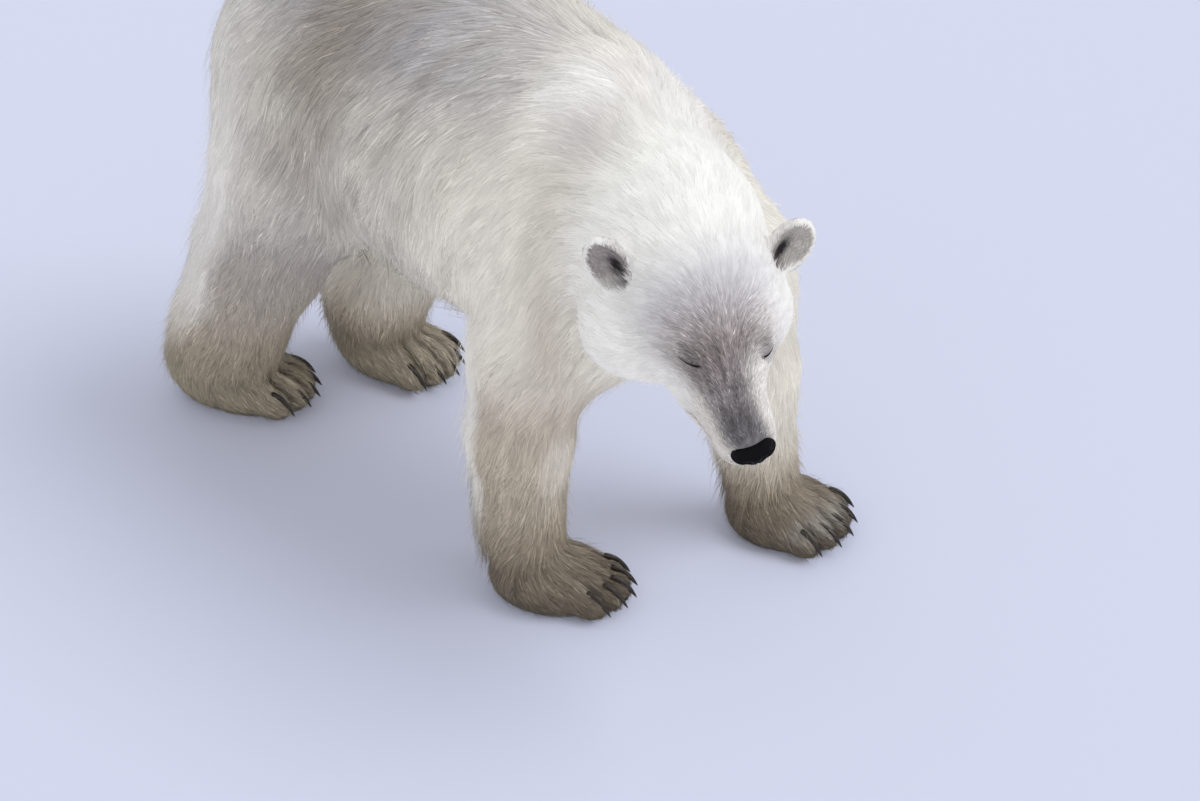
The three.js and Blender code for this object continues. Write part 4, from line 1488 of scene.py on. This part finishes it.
def leather_finish():
    """Nose leather: black, damp and pebbled in grains about 1.6 mm across."""
    material, tree, shader = new_material("nose_leather")
    shader.inputs["Base Color"].default_value = (*linear("#060409"), 1)
    shader.inputs["Roughness"].default_value = 0.36
    shader.inputs["Specular IOR Level"].default_value = 0.1
    place = add(tree, "ShaderNodeTexCoord")
    grain = add(tree, "ShaderNodeTexVoronoi", [("Vector", place.outputs["Object"])], Scale=per(31, 50))
    pebble = add(
        tree, "ShaderNodeBump", [("Height", grain.outputs["Distance"])], Strength=0.6, Distance=0.6 * MM
    )
    tree.links.new(pebble.outputs["Normal"], shader.inputs["Normal"])
    return material


def horn_finish():
    """Claw horn: brown-black, polished by wear, clouded in patches about 6 mm across."""
    material, tree, shader = new_material("claw_horn")
    shader.inputs["Roughness"].default_value = 0.34
    place = add(tree, "ShaderNodeTexCoord")
    clouds = add(
        tree, "ShaderNodeTexNoise", [("Vector", place.outputs["Object"])], Scale=per(4, 25), Detail=4
    )
    tone = add(tree, "ShaderNodeValToRGB", [("Fac", clouds.outputs["Fac"])])
    for stop, position, code in zip(tone.color_ramp.elements, (0.35, 0.7), ("#15110F", "#3A2E27")):
        stop.position = position
        stop.color = (*linear(code), 1)
    tree.links.new(tone.outputs["Color"], shader.inputs["Base Color"])
    return material


def eye_finish():
    """A wet, dark brown eye behind the lids: as good as a mirror where it shows."""
    material, _, shader = new_material("wet_eye")
    shader.inputs["Base Color"].default_value = (*linear("#120C0A"), 1)
    shader.inputs["Roughness"].default_value = 0.08
    return material


# ------------------------------------------------------------------ floor, light and camera
# degrees round the bear and above the floor, metres away, a place in mm, and the lens in mm
VIEW = {"azimuth": -48.96, "elevation": 36.0, "away": 9.0, "looks_at": (266.1, -14.5, 0), "lens": 151.2}
FLOOR = "#D2D7ED"  # as the eye sees it
SNOW = "#EDEDF1"  # as it throws light back up
SKY = 0.75
LAMP = {"energy": 1.1, "angle": 35, "way": (-0.45, 0.55, -1.0)}


def make_floor():
    """Matt, pale ground: it gives back more light than it shows to the eye, as snow does."""
    made = bmesh.new()
    bmesh.ops.create_grid(made, x_segments=1, y_segments=1, size=30)
    floor = add_object("floor", mesh_from(made, "floor"))
    material, tree, shader = new_material("pale_floor")
    path = add(tree, "ShaderNodeLightPath")
    seen = add(
        tree, "ShaderNodeMath", [(0, path.outputs["Is Camera Ray"]), (1, path.outputs["Is Glossy Ray"])],
        operation="MAXIMUM",
    )
    tone = add(tree, "ShaderNodeMix", [("Factor", seen.outputs["Value"])], data_type="RGBA")
    tone.inputs["A"].default_value = (*linear(SNOW), 1)
    tone.inputs["B"].default_value = (*linear(FLOOR), 1)
    tree.links.new(tone.outputs["Result"], shader.inputs["Base Color"])
    shader.inputs["Roughness"].default_value = 0.95
    shader.inputs["Specular IOR Level"].default_value = 0.0
    floor.data.materials.append(material)


def make_light():
    """Plain soft light from the whole sky, with a large lamp before the bear."""
    world = bpy.data.worlds.new("studio")
    bpy.context.scene.world = world
    world.use_nodes = True
    sky = world.node_tree.nodes["Background"]
    sky.inputs["Color"].default_value = (1, 1, 1, 1)
    sky.inputs["Strength"].default_value = SKY
    lamp = bpy.data.lights.new("softbox", "SUN")
    lamp.energy = LAMP["energy"]
    lamp.angle = math.radians(LAMP["angle"])
    holder = add_object("softbox", lamp)
    holder.rotation_euler = Vector(LAMP["way"]).to_track_quat("-Z", "Y").to_euler()


def make_camera():
    """Looks down on the bear from before its right side."""
    camera = add_object("camera", bpy.data.cameras.new("camera"))
    camera.data.lens = VIEW["lens"]
    camera.data.sensor_width = 36
    camera.data.clip_end = 100
    azimuth, elevation = math.radians(VIEW["azimuth"]), math.radians(VIEW["elevation"])
    back = Vector((
        math.sin(azimuth) * math.cos(elevation),
        -math.cos(azimuth) * math.cos(elevation),
        math.sin(elevation),
    ))
    target = Vector(to_part(np.array(VIEW["looks_at"])))
    camera.location = target + back * VIEW["away"]
    camera.rotation_euler = (-back).to_track_quat("-Z", "Y").to_euler()
    bpy.context.scene.camera = camera


# ------------------------------------------------------------------ the bear
fur = fur_finish()
skin, skin_points, lines = make_skin()
skin.data.materials.append(skin_finish())
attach(skin, "root")
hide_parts(*FLESH_NODES)
make_coat(skin, skin_points, lines, fur)
leather = leather_finish()
make_nose(leather)
make_lid_rims(lines, leather)
make_eyes(eye_finish())
make_claws(horn_finish())
make_whiskers(fur)
make_floor()
make_light()
make_camera()
bpy.context.scene.view_settings.view_transform = "Standard"
